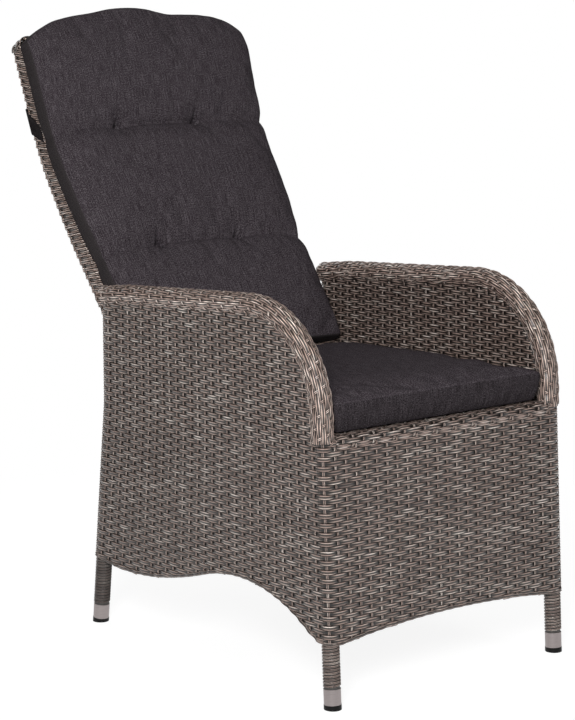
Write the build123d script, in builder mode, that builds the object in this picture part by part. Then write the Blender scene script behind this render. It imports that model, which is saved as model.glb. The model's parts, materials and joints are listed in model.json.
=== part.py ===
from build123d import *
import os
from math import cos, radians, sin, sqrt, tan

# Reclining wicker armchair: a woven base with closed arms, a backrest that tilts between the arms on a
# lockable gas spring, a box seat cushion and a long tufted back cushion.
# The chair faces -Y and stands on Z = 0. X = 0 is its middle plane. "Left" is the sitter's left, +X.
# All sizes are millimetres, all angles degrees.

# Frame tubes
tube_d = 25.4
tube_wall = 1.5
leg_x = 250.0
front_foot_y = -464.83
front_lean = 3.4
rear_foot_y = 183.17
rear_knee_y = 136.17
rear_knee_z = 410.0
rear_knee_radius = 160.0
weld_gap = 0.1
overrun = 30.0

# Arm line, along the tube's middle
arm_crown_y = -238.83
arm_crown_z = 627.0
arm_slope = 4.0
arm_corner_radius = 168.0
arm_mid_y = 78.17
arm_mid_radius = 500.0
arm_end_y = 154.67
arm_end_drop = 10.0
arm_roll_r = 19.2
roll_end_cap = 3.0

# Woven skins
weave_t = 2.7
weave_gap = 0.3
skirt_front_z = 106.0
skirt_middle_z = 121.5
skirt_flank_z = 117.0
skirt_flank_x = 130.0
skirt_side_front_z = 108.0
skirt_arch_low_z = 157.0
skirt_arch_front_y = -344.33
skirt_arch_rear_y = -143.33
skirt_arch_foot_y = -420.33
skirt_arch_foot_z = 120.0
skirt_lobe_y = 64.67
skirt_lobe_z = 117.0
skirt_lobe_front_y = -41.33
skirt_lobe_front_z = 130.0
skirt_rear_z = 131.0

# Feet and wrapped legs
wrap_t = 2.2
sleeve_t = 1.4
sleeve_low = 8.0
sleeve_high = 34.0
cap_t = 1.8
cap_plug_depth = 16.0
fit_gap = 0.1
front_wrap_high = 104.5
rear_wrap_high = 119.0

# Seat frame and deck
seat_top_z = 438.0
seat_slope = 1.87
deck_t = 4.0
deck_rear_y = 59.67
deck_side_gap = 6.8
bar_d = 22.0
spring_bar_y = -232.33
deck_bar_y = -87.33
deck_rail_y = 41.67

# Backrest line: straight from the pivot, one bend, straight to the top
pivot_y = 86.67
pivot_z = 434.0
back_lean_low = 36.9
back_lean_high = 23.5
back_straight = 432.0
back_bend_radius = 420.0
back_side_gap = 5.8
back_low_s = 22.0
back_top_s = 709.0
crest_angle = 8.0
back_corner_r = 36.0
back_edge_corner = 6.0
back_bar_d = 19.0
back_bar_low_s = 238.0
back_bar_high_s = 470.0
torque_tube_d = 28.0
torque_tube_wall = 2.5

# Pivots
pin_d = 10.0
run_gap = 0.05
bush_flange_t = 1.6
bush_flange_d = 26.0
bush_length = 18.0
washer_t = 1.0
washer_d = 22.0
plate_t = 3.0
flange_play = 0.5
plate_round_r = 15.0
plate_pad_low = 12.0
plate_pad_high = 6.0
plate_pad_half = 20.0
pin_head_d = 16.0
pin_head_t = 2.2

# Lever under the torque tube
lever_r = 66.0
lever_angle = 8.0
cheek_t = 5.0
cheek_gap = 6.6
cheek_hub_r = 20.0
cheek_tip_r = 11.0
lever_pin_d = 8.0
lever_pin_half = 14.0

# Gas spring, measured along its own axis from the trunnions
anchor_y = -232.33
anchor_z = 374.0
eye_slack_y = -0.14
eye_slack_z = 0.93
eye_clearance = 1.5
eye_outer_d = 22.0
eye_t = 12.0
eye_neck = 15.0
eye_neck_d = 10.0
head_width = 14.0
head_height = 20.0
head_front = 14.0
head_back = 30.0
trunnion_d = 8.0
trunnion_half = 12.3
rod_d = 10.0
cylinder_d = 28.0
cylinder_wall = 2.0
cylinder_start = 95.0
guide_t = 14.0
piston_t = 12.0
piston_place = 235.0
cylinder_end_t = 8.0
lug_t = 4.5
lug_gap = 0.4
lug_tip_r = 9.0
lug_top_r = 15.0
saddle_drop = 4.5

# Release gear
release_pin_d = 4.0
release_pin_out = 6.0
release_bore = 20.0
release_pin_inside = 14.0
shaft_d = 10.0
shaft_drop = 12.0
shaft_ahead = 35.0
shaft_inner_x = 12.0
finger_t = 6.0
finger_hub_r = 8.0
finger_width = 6.0
finger_gap = 0.4
finger_rise = 4.0
bearing_t = 4.0
bearing_tip_r = 9.0
bearing_top_r = 15.0
bearing_inner_x = -30.0
bearing_outer_x = -200.0
bar_t = 4.0
bar_width = 18.0
bar_outer_x = 231.5
notch_inner_x = 225.0
notch_front_y = -284.33
notch_rear_y = -240.33
grip_t = 12.0
grip_width = 26.0
grip_high_z = 562.0
grip_length = 62.0
grip_cover = 22.0
grip_round_r = 5.0
grip_outer_x = 233.4

# Seat cushion, in the plane of the deck
cushion_gap = 0.3
seat_half_width = 227.0
seat_front_y = -444.33
seat_rear_y = 61.67
seat_cushion_t = 55.0
seat_crown = 9.0
seat_edge_bulge = 4.0
seat_draw_in = 4.0
seat_end_round = 12.0
seat_middle_share = 0.25
seat_end_shares = [(0.0, 1.0, 0.35), (0.33, 0.33, 0.5), (1.0, 0.0, 0.7)]

# Back cushion, along the backrest line
pad_low_s = 36.0
pad_high_s = 756.0
pad_corner_s = 700.0
pad_half_width = 241.0
pad_low_half_width = 229.0
pad_crease_draw = 6.0
pad_edge_t = 34.0
pad_crown = 20.0
pad_crease_depth = 12.0
pad_low_crease_s = 251.0
pad_high_crease_s = 513.0
pad_crease_half = 16.0
pad_end_round = 26.0
pad_low_tip = (17.0, 10.0)
pad_low_swell = (34.0, 13.0)
pad_top_swell = (25.0, 10.0)
pad_top_tip = (11.0, 6.0)
pad_side_bulge = 5.0
pad_lobe_x = 96.0
pad_lobe_s = 744.0
pad_shoulder_x = 158.0
pad_shoulder_s = 741.0
tuft_x = 93.0
tuft_sphere_r = 22.0
tuft_depth = 8.0
tuft_seat = 36.0

# Strap round the backrest
strap_t = 2.0
strap_width = 48.0
strap_gap = 0.3
strap_end_gap = 0.1
strap_low_s = 534.0

os.makedirs("parts", exist_ok=True)

# Worked-out sizes
tube_r = tube_d / 2
skin_in = tube_r + weave_gap
skin_out = skin_in + weave_t
front_slope = tan(radians(front_lean))
rear_slope = (rear_foot_y - rear_knee_y) / rear_knee_z
arm_fall = tan(radians(arm_slope))
arm_corner_z = (arm_crown_z - arm_fall * (front_foot_y - arm_crown_y)) / (1 + arm_fall * front_slope)
arm_corner_y = front_foot_y + arm_corner_z * front_slope
arm_mid_z = arm_crown_z - arm_fall * (arm_mid_y - arm_crown_y)
arm_end_z = arm_mid_z - arm_end_drop
roll_inset = sqrt(arm_roll_r**2 - skin_in**2) + weave_gap
front_rail_z = seat_top_z - skin_out
front_rail_y = front_foot_y + front_rail_z * front_slope
seat_fall = tan(radians(seat_slope))
bar_r = bar_d / 2
deck_half_width = leg_x - tube_r - deck_side_gap
back_half_width = leg_x - skin_out - back_side_gap
torque_tube_half = back_half_width - weave_t - weave_gap
plate_inner_x = torque_tube_half + bush_flange_t + flange_play + washer_t + fit_gap
grip_low_z = grip_high_z - grip_length
bar_top_z = grip_high_z - grip_cover


def keep(part, label):
    part.label = label
    export_step(part, f"parts/{label}.step")
    return part


def keep_pair(part, label):
    keep(part, f"{label}_left")
    keep(mirror(part, about=Plane.YZ), f"{label}_right")


def leg_y(z):
    return front_foot_y + z * front_slope


def deck_z(y):
    return seat_top_z - (y - front_rail_y) * seat_fall


def arm_line(low_z, end_y):
    """Middle line of the arm tube from a height on the front leg to a place near the arm's rear end."""
    end_z = arm_mid_z - (end_y - arm_mid_y) * arm_end_drop / (arm_end_y - arm_mid_y)
    points = [
        (leg_y(low_z), low_z),
        (arm_corner_y, arm_corner_z),
        (arm_mid_y, arm_mid_z),
        (end_y, end_z),
    ]
    return FilletPolyline(*points, radius=[arm_corner_radius, arm_mid_radius])


def rear_line(out, low_z, high_z):
    """Line of the rear leg, moved back by a distance, between two heights."""
    points = [
        (rear_foot_y + out - low_z * rear_slope, low_z),
        (rear_knee_y + out, rear_knee_z),
        (rear_knee_y + out, high_z),
    ]
    return FilletPolyline(*points, radius=rear_knee_radius - out)


def straight_tube(plane, length, outer_d, wall):
    """Round tube that starts on a plane and runs along its normal."""
    with BuildPart() as piece:
        with BuildSketch(plane):
            Circle(outer_d / 2)
            Circle(outer_d / 2 - wall, mode=Mode.SUBTRACT)
        extrude(amount=length)
    return piece.part


def cross_tube(y, z, half_length, outer_d, wall):
    """Round tube along X, centred on the middle plane."""
    plane = Plane(origin=(-half_length, y, z), x_dir=(0, 1, 0), z_dir=(1, 0, 0))
    return straight_tube(plane, 2 * half_length, outer_d, wall)


# Bent arm tube: front leg and arm in one piece
with BuildPart() as arm_tube:
    with BuildLine(Plane.YZ.offset(leg_x)) as arm_path:
        arm_line(sleeve_low, arm_end_y)
    with BuildSketch(Plane(origin=arm_path.line @ 0, x_dir=(1, 0, 0), z_dir=arm_path.line % 0)):
        Circle(tube_r)
        Circle(tube_r - tube_wall, mode=Mode.SUBTRACT)
    sweep(path=arm_path.line)
keep_pair(arm_tube.part, "arm_tube")

# Rear leg tube, its top hollowed to sit round the underside of the arm tube
arm_over_leg_z = arm_mid_z - (rear_knee_y - arm_mid_y) * arm_end_drop / (arm_end_y - arm_mid_y)
with BuildPart() as rear_leg:
    with BuildLine(Plane.YZ.offset(leg_x)) as rear_path:
        rear_line(0, sleeve_low, arm_over_leg_z)
    with BuildSketch(Plane(origin=rear_path.line @ 0, x_dir=(1, 0, 0), z_dir=rear_path.line % 0)):
        Circle(tube_r)
        Circle(tube_r - tube_wall, mode=Mode.SUBTRACT)
    sweep(path=rear_path.line)
    with BuildSketch(Plane(origin=arm_path.line @ 1, x_dir=(1, 0, 0), z_dir=arm_path.line % 1)):
        Circle(tube_r + weld_gap)
    extrude(amount=-2 * overrun, mode=Mode.SUBTRACT)
keep_pair(rear_leg.part, "rear_leg_tube")

# Woven roll along the arm edge, open below where the rear leg meets the arm tube
with BuildPart() as arm_roll:
    with BuildLine(Plane.YZ.offset(leg_x)) as roll_path:
        arm_line(seat_top_z + weave_gap + arm_roll_r * front_slope, arm_end_y + weave_gap)
    with BuildSketch(Plane(origin=roll_path.line @ 0, x_dir=(1, 0, 0), z_dir=roll_path.line % 0)):
        Circle(arm_roll_r)
        Circle(skin_in, mode=Mode.SUBTRACT)
    sweep(path=roll_path.line)
    with BuildSketch(Plane(origin=roll_path.line @ 1, x_dir=(1, 0, 0), z_dir=roll_path.line % 1)):
        Circle(arm_roll_r)
    extrude(amount=roll_end_cap)
    with BuildSketch(Plane(origin=(leg_x, rear_knee_y, arm_over_leg_z), z_dir=(0, 0, -1))):
        Circle(skin_in + weave_gap)
    extrude(amount=overrun, mode=Mode.SUBTRACT)
keep_pair(arm_roll.part, "arm_roll")


def under_arm(plane_x, rear_out, low_z):
    """Side outline: under the arm roll, in front of a line behind the rear leg, above a height."""
    far_y = rear_foot_y + arm_corner_radius
    front_y = leg_y(0) - overrun
    with BuildSketch(Plane.YZ.offset(plane_x)) as outline:
        with BuildLine():
            edge = arm_line(0, far_y)
            Polyline(edge @ 1, (far_y, 0), edge @ 0)
        make_face()
        offset(amount=-roll_inset)
        with BuildLine():
            Polyline((leg_y(0), 0), (leg_y(seat_top_z), seat_top_z), (far_y, seat_top_z), (far_y, 0), close=True)
        make_face()
        with BuildLine():
            back_edge = rear_line(rear_out, low_z, arm_corner_z)
            Polyline(back_edge @ 1, (front_y, arm_corner_z), (front_y, low_z), back_edge @ 0)
        make_face(mode=Mode.INTERSECT)
    return outline.sketch


def below_side_skirt():
    """Everything under the scalloped lower edge of the side: a lobe behind and an arch in front."""
    rear_y = rear_foot_y + overrun
    with BuildSketch(Plane.YZ.offset(leg_x - skin_out - overrun)) as below:
        with BuildLine():
            lobe = ThreePointArc(
                (rear_y, skirt_rear_z),
                (skirt_lobe_y, skirt_lobe_z),
                (skirt_lobe_front_y, skirt_lobe_front_z),
            )
            rise = TangentArc(lobe @ 1, (skirt_arch_rear_y, skirt_arch_low_z), tangent=lobe % 1)
            arch = TangentArc(rise @ 1, (skirt_arch_front_y, skirt_arch_low_z), tangent=rise % 1)
            fall = TangentArc(arch @ 1, (skirt_arch_foot_y, skirt_arch_foot_z), tangent=arch % 1)
            lines = [(leg_y(0) + tube_r, skirt_side_front_z), (leg_y(0) - overrun, skirt_side_front_z)]
            Polyline(fall @ 1, *lines, (leg_y(0) - overrun, 0), (rear_y, 0), lobe @ 0)
        make_face()
    return below.sketch


# Side cover: outer skin, round behind the rear leg, with the inner arm skin above the deck
side_low_z = skirt_lobe_z - overrun
with BuildPart() as rear_turn:
    with BuildLine(Plane.YZ.offset(leg_x)) as turn_path:
        rear_line(0, side_low_z, arm_corner_z)
    with BuildSketch(Plane(origin=turn_path.line @ 0, x_dir=(1, 0, 0), z_dir=turn_path.line % 0)):
        Circle(skin_out)
        Circle(skin_in, mode=Mode.SUBTRACT)
        with Locations((0, -skin_out)):
            Rectangle(2 * skin_out, 2 * skin_out, mode=Mode.SUBTRACT)
    sweep(path=turn_path.line)
    add(under_arm(leg_x - skin_out - weave_gap, skin_out + overrun, side_low_z))
    extrude(amount=2 * (skin_out + weave_gap), dir=(1, 0, 0), mode=Mode.INTERSECT)
    with BuildSketch(Plane(origin=roll_path.line @ 1, x_dir=(1, 0, 0), z_dir=roll_path.line % 1)):
        Circle(arm_roll_r + weave_gap)
    extrude(amount=-2 * overrun, mode=Mode.SUBTRACT)
with BuildPart() as side_weave:
    add(under_arm(leg_x - skin_out, 0, side_low_z))
    extrude(amount=weave_t, dir=(1, 0, 0))
    add(rear_turn.part)
    with BuildSketch(Plane.YZ.offset(leg_x)):
        with Locations((0, (seat_top_z + weave_gap) / 2)):
            Rectangle(4 * leg_x, seat_top_z + weave_gap)
    extrude(amount=-(skin_out + overrun), mode=Mode.SUBTRACT)
    add(under_arm(leg_x + skin_in, 0, side_low_z))
    extrude(amount=weave_t, dir=(1, 0, 0))
    add(below_side_skirt())
    extrude(amount=2 * (skin_out + overrun), dir=(1, 0, 0), mode=Mode.SUBTRACT)
keep_pair(side_weave.part, "side_weave")


def below_apron():
    """Everything under the arched lower edge between two legs, from behind the chair."""
    with BuildSketch(Plane.XZ.offset(-2 * leg_x)) as below:
        with BuildLine():
            left_flank, right_flank = (-skirt_flank_x, skirt_flank_z), (skirt_flank_x, skirt_flank_z)
            middle = ThreePointArc(left_flank, (0, skirt_middle_z), right_flank)
            inner_x = leg_x - skin_out
            right = TangentArc(middle @ 1, (inner_x, skirt_front_z), tangent=middle % 1)
            left = TangentArc(middle @ 0, (-inner_x, skirt_front_z), tangent=-(middle % 0))
            outer_x = leg_x + skin_out + overrun
            lines = [(outer_x, skirt_front_z), (outer_x, 0), (-outer_x, 0), (-outer_x, skirt_front_z)]
            Polyline(right @ 1, *lines, left @ 1)
        make_face()
    return below.sketch


# Front apron, turned round both front legs to the middle of their sides
apron_low_z = skirt_front_z - overrun
apron_depth = 4 * skin_out
with BuildPart() as front_apron:
    with BuildSketch(Plane.XY.offset(apron_low_z)):
        with Locations((0, leg_y(apron_low_z) - skin_out + apron_depth / 2)):
            RectangleRounded(2 * (leg_x + skin_out), apron_depth, skin_out - weave_gap)
        with Locations((0, leg_y(apron_low_z) - skin_in + apron_depth / 2)):
            RectangleRounded(2 * (leg_x + skin_in), apron_depth, skin_in - weave_gap, mode=Mode.SUBTRACT)
        with Locations((0, leg_y(apron_low_z) + apron_depth)):
            Rectangle(4 * leg_x, 2 * apron_depth, mode=Mode.SUBTRACT)
    apron_run = (seat_top_z - apron_low_z) / cos(radians(front_lean))
    extrude(amount=apron_run, dir=(0, front_slope, 1))
    with BuildSketch(Plane.XY.offset(front_rail_z)):
        with Locations((0, front_rail_y)):
            Rectangle(2 * (leg_x - skin_in), apron_depth)
    extrude(amount=overrun, mode=Mode.SUBTRACT)
    add(below_apron())
    extrude(amount=4 * leg_x, dir=(0, -1, 0), mode=Mode.SUBTRACT)
keep(front_apron.part, "front_apron")

# Woven roll over the front rail, between the front legs
with BuildPart() as front_edge_roll:
    roll_half = leg_x - skin_in - weave_gap
    with BuildSketch(Plane(origin=(-roll_half, front_rail_y, front_rail_z), x_dir=(0, 1, 0), z_dir=(1, 0, 0))):
        Circle(skin_out)
        Circle(skin_in, mode=Mode.SUBTRACT)
        with Locations((0, -skin_out)):
            Rectangle(2 * skin_out, 2 * skin_out, mode=Mode.SUBTRACT)
    extrude(amount=2 * roll_half)
keep(front_edge_roll.part, "front_edge_roll")

# Rear apron behind the rear legs
with BuildPart() as rear_apron:
    with BuildSketch(Plane.YZ.offset(weave_gap - leg_x)):
        with BuildLine():
            outside = rear_line(skin_out, skirt_rear_z - overrun, seat_top_z)
            inside = rear_line(skin_in, skirt_rear_z - overrun, seat_top_z)
            Line(outside @ 0, inside @ 0)
            Line(outside @ 1, inside @ 1)
        make_face()
    extrude(amount=2 * (leg_x - weave_gap))
    add(Pos(0, 0, skirt_rear_z - skirt_front_z) * below_apron())
    extrude(amount=4 * leg_x, dir=(0, -1, 0), mode=Mode.SUBTRACT)
keep(rear_apron.part, "rear_apron")

# Legs below the skirts: strip wrapping, bright sleeve and black cap on each
rear_dir = Vector(0, -rear_slope, 1).normalized()
front_dir = Vector(0, front_slope, 1).normalized()
legs = {
    "front_left": (leg_x, front_foot_y, front_dir, front_wrap_high),
    "front_right": (-leg_x, front_foot_y, front_dir, front_wrap_high),
    "rear_left": (leg_x, rear_foot_y, rear_dir, rear_wrap_high),
    "rear_right": (-leg_x, rear_foot_y, rear_dir, rear_wrap_high),
}
for place, (foot_x, foot_y, up_leg, wrap_high) in legs.items():
    leg_plane = Plane(origin=(foot_x, foot_y, 0), x_dir=(1, 0, 0), z_dir=up_leg)

    wrap_r = tube_r + fit_gap + wrap_t
    wrap = straight_tube(leg_plane.offset(sleeve_high + fit_gap), wrap_high - sleeve_high, 2 * wrap_r, wrap_t)
    keep(wrap, f"leg_wrap_{place}")

    sleeve_r = tube_r + fit_gap + sleeve_t
    sleeve = straight_tube(leg_plane.offset(sleeve_low), sleeve_high - sleeve_low, 2 * sleeve_r, sleeve_t)
    keep(sleeve, f"foot_sleeve_{place}")

    with BuildPart() as foot_cap:
        with BuildSketch(leg_plane.offset(sleeve_low - fit_gap)):
            Circle(tube_r + cap_t)
        extrude(amount=-overrun)
        with BuildSketch(leg_plane.offset(sleeve_low - fit_gap)):
            Circle(tube_r - tube_wall - fit_gap)
        extrude(amount=cap_plug_depth)
        split(bisect_by=Plane.XY, keep=Keep.TOP)
    keep(foot_cap.part, f"foot_cap_{place}")

# Seat frame
rail_half = leg_x - tube_r - weld_gap
keep(cross_tube(front_rail_y, front_rail_z, rail_half, tube_d, tube_wall), "seat_rail_front")
rear_rail_z = front_rail_z - (rear_knee_y - front_rail_y) * seat_fall
rear_rail_y = rear_foot_y - rear_rail_z * rear_slope
keep(cross_tube(rear_rail_y, rear_rail_z, rail_half, tube_d, tube_wall), "seat_rail_rear")

side_start = Vector(leg_x, front_rail_y + tube_r + 2 * weld_gap + tube_wall / 2, front_rail_z)
side_end = Vector(leg_x, rear_rail_y - tube_r - 2 * weld_gap - tube_wall / 2, rear_rail_z)
side_dir = side_end - side_start
side_plane = Plane(origin=side_start, x_dir=(1, 0, 0), z_dir=side_dir)
keep_pair(straight_tube(side_plane, side_dir.length, tube_d, tube_wall), "seat_rail_side")


def deck_bar(y, label):
    bar_z = deck_z(y) - deck_t - weave_gap - bar_r
    keep(cross_tube(y, bar_z, rail_half, bar_d, tube_wall), label)
    return bar_z


spring_bar_z = deck_bar(spring_bar_y, "seat_bar_spring")
deck_bar(deck_bar_y, "seat_bar_middle")
deck_bar(deck_rail_y, "seat_bar_deck_rear")

# Woven seat deck, notched for the release bar
deck_plane = Plane(
    origin=(0, front_rail_y, seat_top_z),
    x_dir=(1, 0, 0),
    z_dir=(0, sin(radians(seat_slope)), cos(radians(seat_slope))),
)
deck_front = sqrt(skin_out**2 - (skin_out - deck_t) ** 2) + 2 * weave_gap
deck_length = deck_rear_y - front_rail_y - deck_front
with BuildPart() as seat_deck:
    with BuildSketch(deck_plane):
        with Locations((0, deck_front + deck_length / 2)):
            Rectangle(2 * deck_half_width, deck_length)
        notch_width = deck_half_width - notch_inner_x + overrun
        with Locations((-notch_inner_x - notch_width / 2, (notch_front_y + notch_rear_y) / 2 - front_rail_y)):
            Rectangle(notch_width, notch_rear_y - notch_front_y, mode=Mode.SUBTRACT)
    extrude(amount=-deck_t)
keep(seat_deck.part, "seat_deck")

# Backrest line
lean_low = radians(back_lean_low)
lean_high = radians(back_lean_high)
back_bend = back_bend_radius * (lean_low - lean_high)
bend_y = pivot_y + back_straight * sin(lean_low)
bend_z = pivot_z + back_straight * cos(lean_low)
top_y = bend_y + back_bend_radius * (cos(lean_high) - cos(lean_low))
top_z = bend_z + back_bend_radius * (sin(lean_low) - sin(lean_high))
top_s = back_straight + back_bend


def back_lean(s):
    """Lean from upright, in radians, at a distance along the backrest line from the pivot."""
    turned = min(max(s - back_straight, 0), back_bend) / back_bend_radius
    return lean_low - turned


def back_point(s, out=0):
    """Place in YZ on the backrest line, moved out of its front by a distance."""
    lean = back_lean(s)
    y = pivot_y + min(s, back_straight) * sin(lean_low)
    z = pivot_z + min(s, back_straight) * cos(lean_low)
    y += back_bend_radius * (cos(lean) - cos(lean_low))
    z += back_bend_radius * (sin(lean_low) - sin(lean))
    y += max(s - top_s, 0) * sin(lean_high)
    z += max(s - top_s, 0) * cos(lean_high)
    return y - out * cos(lean), z + out * sin(lean)


def back_plane(s):
    """Plane square to the backrest line, its local Y out of the front."""
    y, z = back_point(s)
    lean = back_lean(s)
    return Plane(origin=(0, y, z), x_dir=(-1, 0, 0), z_dir=(0, sin(lean), cos(lean)))


# Plane of the backrest's upper part, local Y along the backrest line, origin where s is zero
top_plane = Plane(
    origin=(0, top_y - top_s * sin(lean_high), top_z - top_s * cos(lean_high)),
    x_dir=(1, 0, 0),
    z_dir=(0, -cos(lean_high), sin(lean_high)),
)


def back_band(plane_x, out, low_s, high_s):
    """Strip to both sides of the backrest line, seen from the side, on a plane across X."""
    with BuildSketch(Plane.YZ.offset(plane_x)) as band:
        with BuildLine():
            ends = []
            for side_out in (-out, out):
                low = Line(back_point(low_s, side_out), back_point(back_straight, side_out))
                middle_s = back_straight + back_bend / 2
                ThreePointArc(low @ 1, back_point(middle_s, side_out), back_point(top_s, side_out))
                high = Line(back_point(top_s, side_out), back_point(high_s, side_out))
                ends.append((low @ 0, high @ 1))
            Line(ends[0][0], ends[1][0])
            Line(ends[0][1], ends[1][1])
        make_face()
    return band.sketch


# Line of the hoop, half of it: up the side, round the top corner and along a low crest to the middle
hoop_x = back_half_width - skin_out
hoop_s = back_top_s - skin_out
hoop_r = back_corner_r - skin_out
crest = radians(crest_angle)
crest_x = hoop_x - hoop_r + hoop_r * sin(crest)
crest_s = hoop_s - hoop_r + hoop_r * cos(crest)
crest_top_s = crest_s + crest_x * tan(crest / 2)
corner_mid = radians((90 + crest_angle) / 2)
crest_mid_x = crest_x / sin(crest) * sin(crest / 2)
crest_mid_s = crest_top_s - crest_x / sin(crest) * (1 - cos(crest / 2))


def hoop_top(place):
    """Corner and crest of the hoop, from the side to the middle; place turns (x, s) into a point."""
    corner_turn = (hoop_x - hoop_r + hoop_r * sin(corner_mid), hoop_s - hoop_r + hoop_r * cos(corner_mid))
    ThreePointArc(place(hoop_x, hoop_s - hoop_r), place(*corner_turn), place(crest_x, crest_s))
    ThreePointArc(place(crest_x, crest_s), place(crest_mid_x, crest_mid_s), place(0, crest_top_s))


def hoop_line(low_s):
    """Half of the hoop's middle line, from a distance along the backrest."""
    bend_start = (hoop_x, *back_point(back_straight))
    bend_end = (hoop_x, *back_point(top_s))
    Line((hoop_x, *back_point(low_s)), bend_start)
    ThreePointArc(bend_start, (hoop_x, *back_point(back_straight + back_bend / 2)), bend_end)
    Line(bend_end, (hoop_x, *back_point(hoop_s - hoop_r)))
    hoop_top(lambda x, s: (x, *back_point(s)))


# Backrest hoop, welded on the torque tube
with BuildPart() as back_hoop:
    with BuildLine() as hoop_path:
        hoop_line(0)
    with BuildSketch(Plane(origin=hoop_path.line @ 0, x_dir=(1, 0, 0), z_dir=hoop_path.line % 0)):
        Circle(tube_r)
        Circle(tube_r - tube_wall, mode=Mode.SUBTRACT)
    sweep(path=hoop_path.line)
    mirror(about=Plane.YZ)
    with BuildSketch(Plane.YZ.offset(-back_half_width)):
        with Locations((pivot_y, pivot_z)):
            Circle(torque_tube_d / 2 + weld_gap)
    extrude(amount=2 * back_half_width, mode=Mode.SUBTRACT)
keep(back_hoop.part, "back_hoop")

# Cross bars inside the backrest
bar_half = back_half_width - skin_out - tube_r - weld_gap
for bar_s, label in ((back_bar_low_s, "back_bar_low"), (back_bar_high_s, "back_bar_high")):
    keep(cross_tube(*back_point(bar_s), bar_half, back_bar_d, tube_wall), label)

# Woven backrest cover: front and rear skins joined by a flat edge with rounded corners, open below
with BuildPart() as back_weave:
    add(back_band(0, skin_out, back_low_s, back_top_s))
    extrude(amount=hoop_x, dir=(1, 0, 0))
    add(back_band(0, skin_in, back_low_s, back_top_s))
    extrude(amount=hoop_x, dir=(1, 0, 0), mode=Mode.SUBTRACT)
    with BuildSketch(top_plane.offset(-back_top_s)):
        with BuildLine():
            hoop_top(lambda x, s: (x, s))
            Polyline((hoop_x, hoop_s - hoop_r), (hoop_x, 0), (0, 0), (0, crest_top_s))
        make_face()
    extrude(amount=2 * back_top_s, mode=Mode.INTERSECT)
    with BuildLine() as cover_path:
        hoop_line(back_low_s)
    with BuildSketch(Plane(origin=cover_path.line @ 0, x_dir=(1, 0, 0), z_dir=cover_path.line % 0)):
        RectangleRounded(2 * skin_out, 2 * skin_out, back_edge_corner)
        RectangleRounded(2 * skin_in, 2 * skin_in, back_edge_corner - weave_t, mode=Mode.SUBTRACT)
        with Locations((-skin_out, 0)):
            Rectangle(2 * skin_out, 2 * skin_out, mode=Mode.SUBTRACT)
    sweep(path=cover_path.line)
    mirror(about=Plane.YZ)
keep(back_weave.part, "back_weave")

# Torque tube on the pivot axis
keep(cross_tube(pivot_y, pivot_z, torque_tube_half, torque_tube_d, torque_tube_wall), "back_torque_tube")

# Bush, washer, pin and plate at each pivot
pin_r = pin_d / 2
bush_bore_r = pin_r + run_gap
bush_in_r = torque_tube_d / 2 - torque_tube_wall - run_gap


def pivot_plane(x):
    """Plane across the pivot axis at a distance to the left, facing left."""
    return Plane(origin=(x, pivot_y, pivot_z), x_dir=(0, 1, 0), z_dir=(1, 0, 0))


with BuildPart() as pivot_bush:
    with BuildSketch(pivot_plane(torque_tube_half)):
        Circle(bush_in_r)
    extrude(amount=-bush_length)
    with BuildSketch(pivot_plane(torque_tube_half)):
        Circle(bush_flange_d / 2)
    extrude(amount=bush_flange_t)
    with BuildSketch(pivot_plane(torque_tube_half + bush_flange_t)):
        Circle(bush_bore_r)
    extrude(amount=-(bush_length + bush_flange_t), mode=Mode.SUBTRACT)
keep_pair(pivot_bush.part, "pivot_bush")

washer_x = plate_inner_x - washer_t - fit_gap
with BuildPart() as pivot_washer:
    with BuildSketch(pivot_plane(washer_x)):
        Circle(washer_d / 2)
        Circle(bush_bore_r, mode=Mode.SUBTRACT)
    extrude(amount=washer_t)
keep_pair(pivot_washer.part, "pivot_washer")

with BuildPart() as pivot_pin:
    pin_head_x = plate_inner_x + plate_t + fit_gap
    with BuildSketch(pivot_plane(pin_head_x)):
        Circle(pin_head_d / 2)
    extrude(amount=pin_head_t)
    with BuildSketch(pivot_plane(pin_head_x)):
        Circle(pin_r)
    extrude(amount=-(pin_head_x - torque_tube_half + bush_length + washer_t))
keep_pair(pivot_pin.part, "pivot_pin")

# Pivot plate with the pad that is welded to the side rail
pad_rail_z = front_rail_z - (pivot_y - front_rail_y) * seat_fall
with BuildPart() as pivot_plate:
    with BuildSketch(Plane.YZ.offset(plate_inner_x)):
        with Locations((pivot_y, pivot_z)):
            Circle(plate_round_r)
        with Locations((pivot_y - plate_pad_half, pad_rail_z), (pivot_y + plate_pad_half, pad_rail_z)):
            Circle(plate_pad_low)
        make_hull()
        with Locations((pivot_y, pivot_z)):
            Circle(bush_bore_r, mode=Mode.SUBTRACT)
    extrude(amount=plate_t)
    with BuildSketch(Plane.YZ.offset(plate_inner_x + plate_t)):
        with Locations((pivot_y, pad_rail_z)):
            Rectangle(2 * plate_pad_half, 2 * plate_pad_high)
    extrude(amount=rail_half - plate_inner_x - plate_t)
keep_pair(pivot_plate.part, "pivot_plate")

# Lever cheeks on the torque tube and their cross pin
pin_place = (
    pivot_y + lever_r * sin(radians(lever_angle)),
    pivot_z - lever_r * cos(radians(lever_angle)),
)
with BuildPart() as lever_cheeks:
    with BuildSketch(Plane.YZ.offset(cheek_gap)):
        with Locations((pivot_y, pivot_z)):
            Circle(cheek_hub_r)
        with Locations(pin_place):
            Circle(cheek_tip_r)
        make_hull()
        with Locations((pivot_y, pivot_z)):
            Circle(torque_tube_d / 2 + weld_gap, mode=Mode.SUBTRACT)
        with Locations(pin_place):
            Circle(lever_pin_d / 2 + run_gap, mode=Mode.SUBTRACT)
    extrude(amount=cheek_t)
    mirror(about=Plane.YZ)
keep(lever_cheeks.part, "lever_cheeks")

with BuildPart() as lever_pin:
    with BuildSketch(Plane.YZ):
        with Locations(pin_place):
            Circle(lever_pin_d / 2)
    extrude(amount=lever_pin_half, both=True)
keep(lever_pin.part, "lever_pin")

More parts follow.
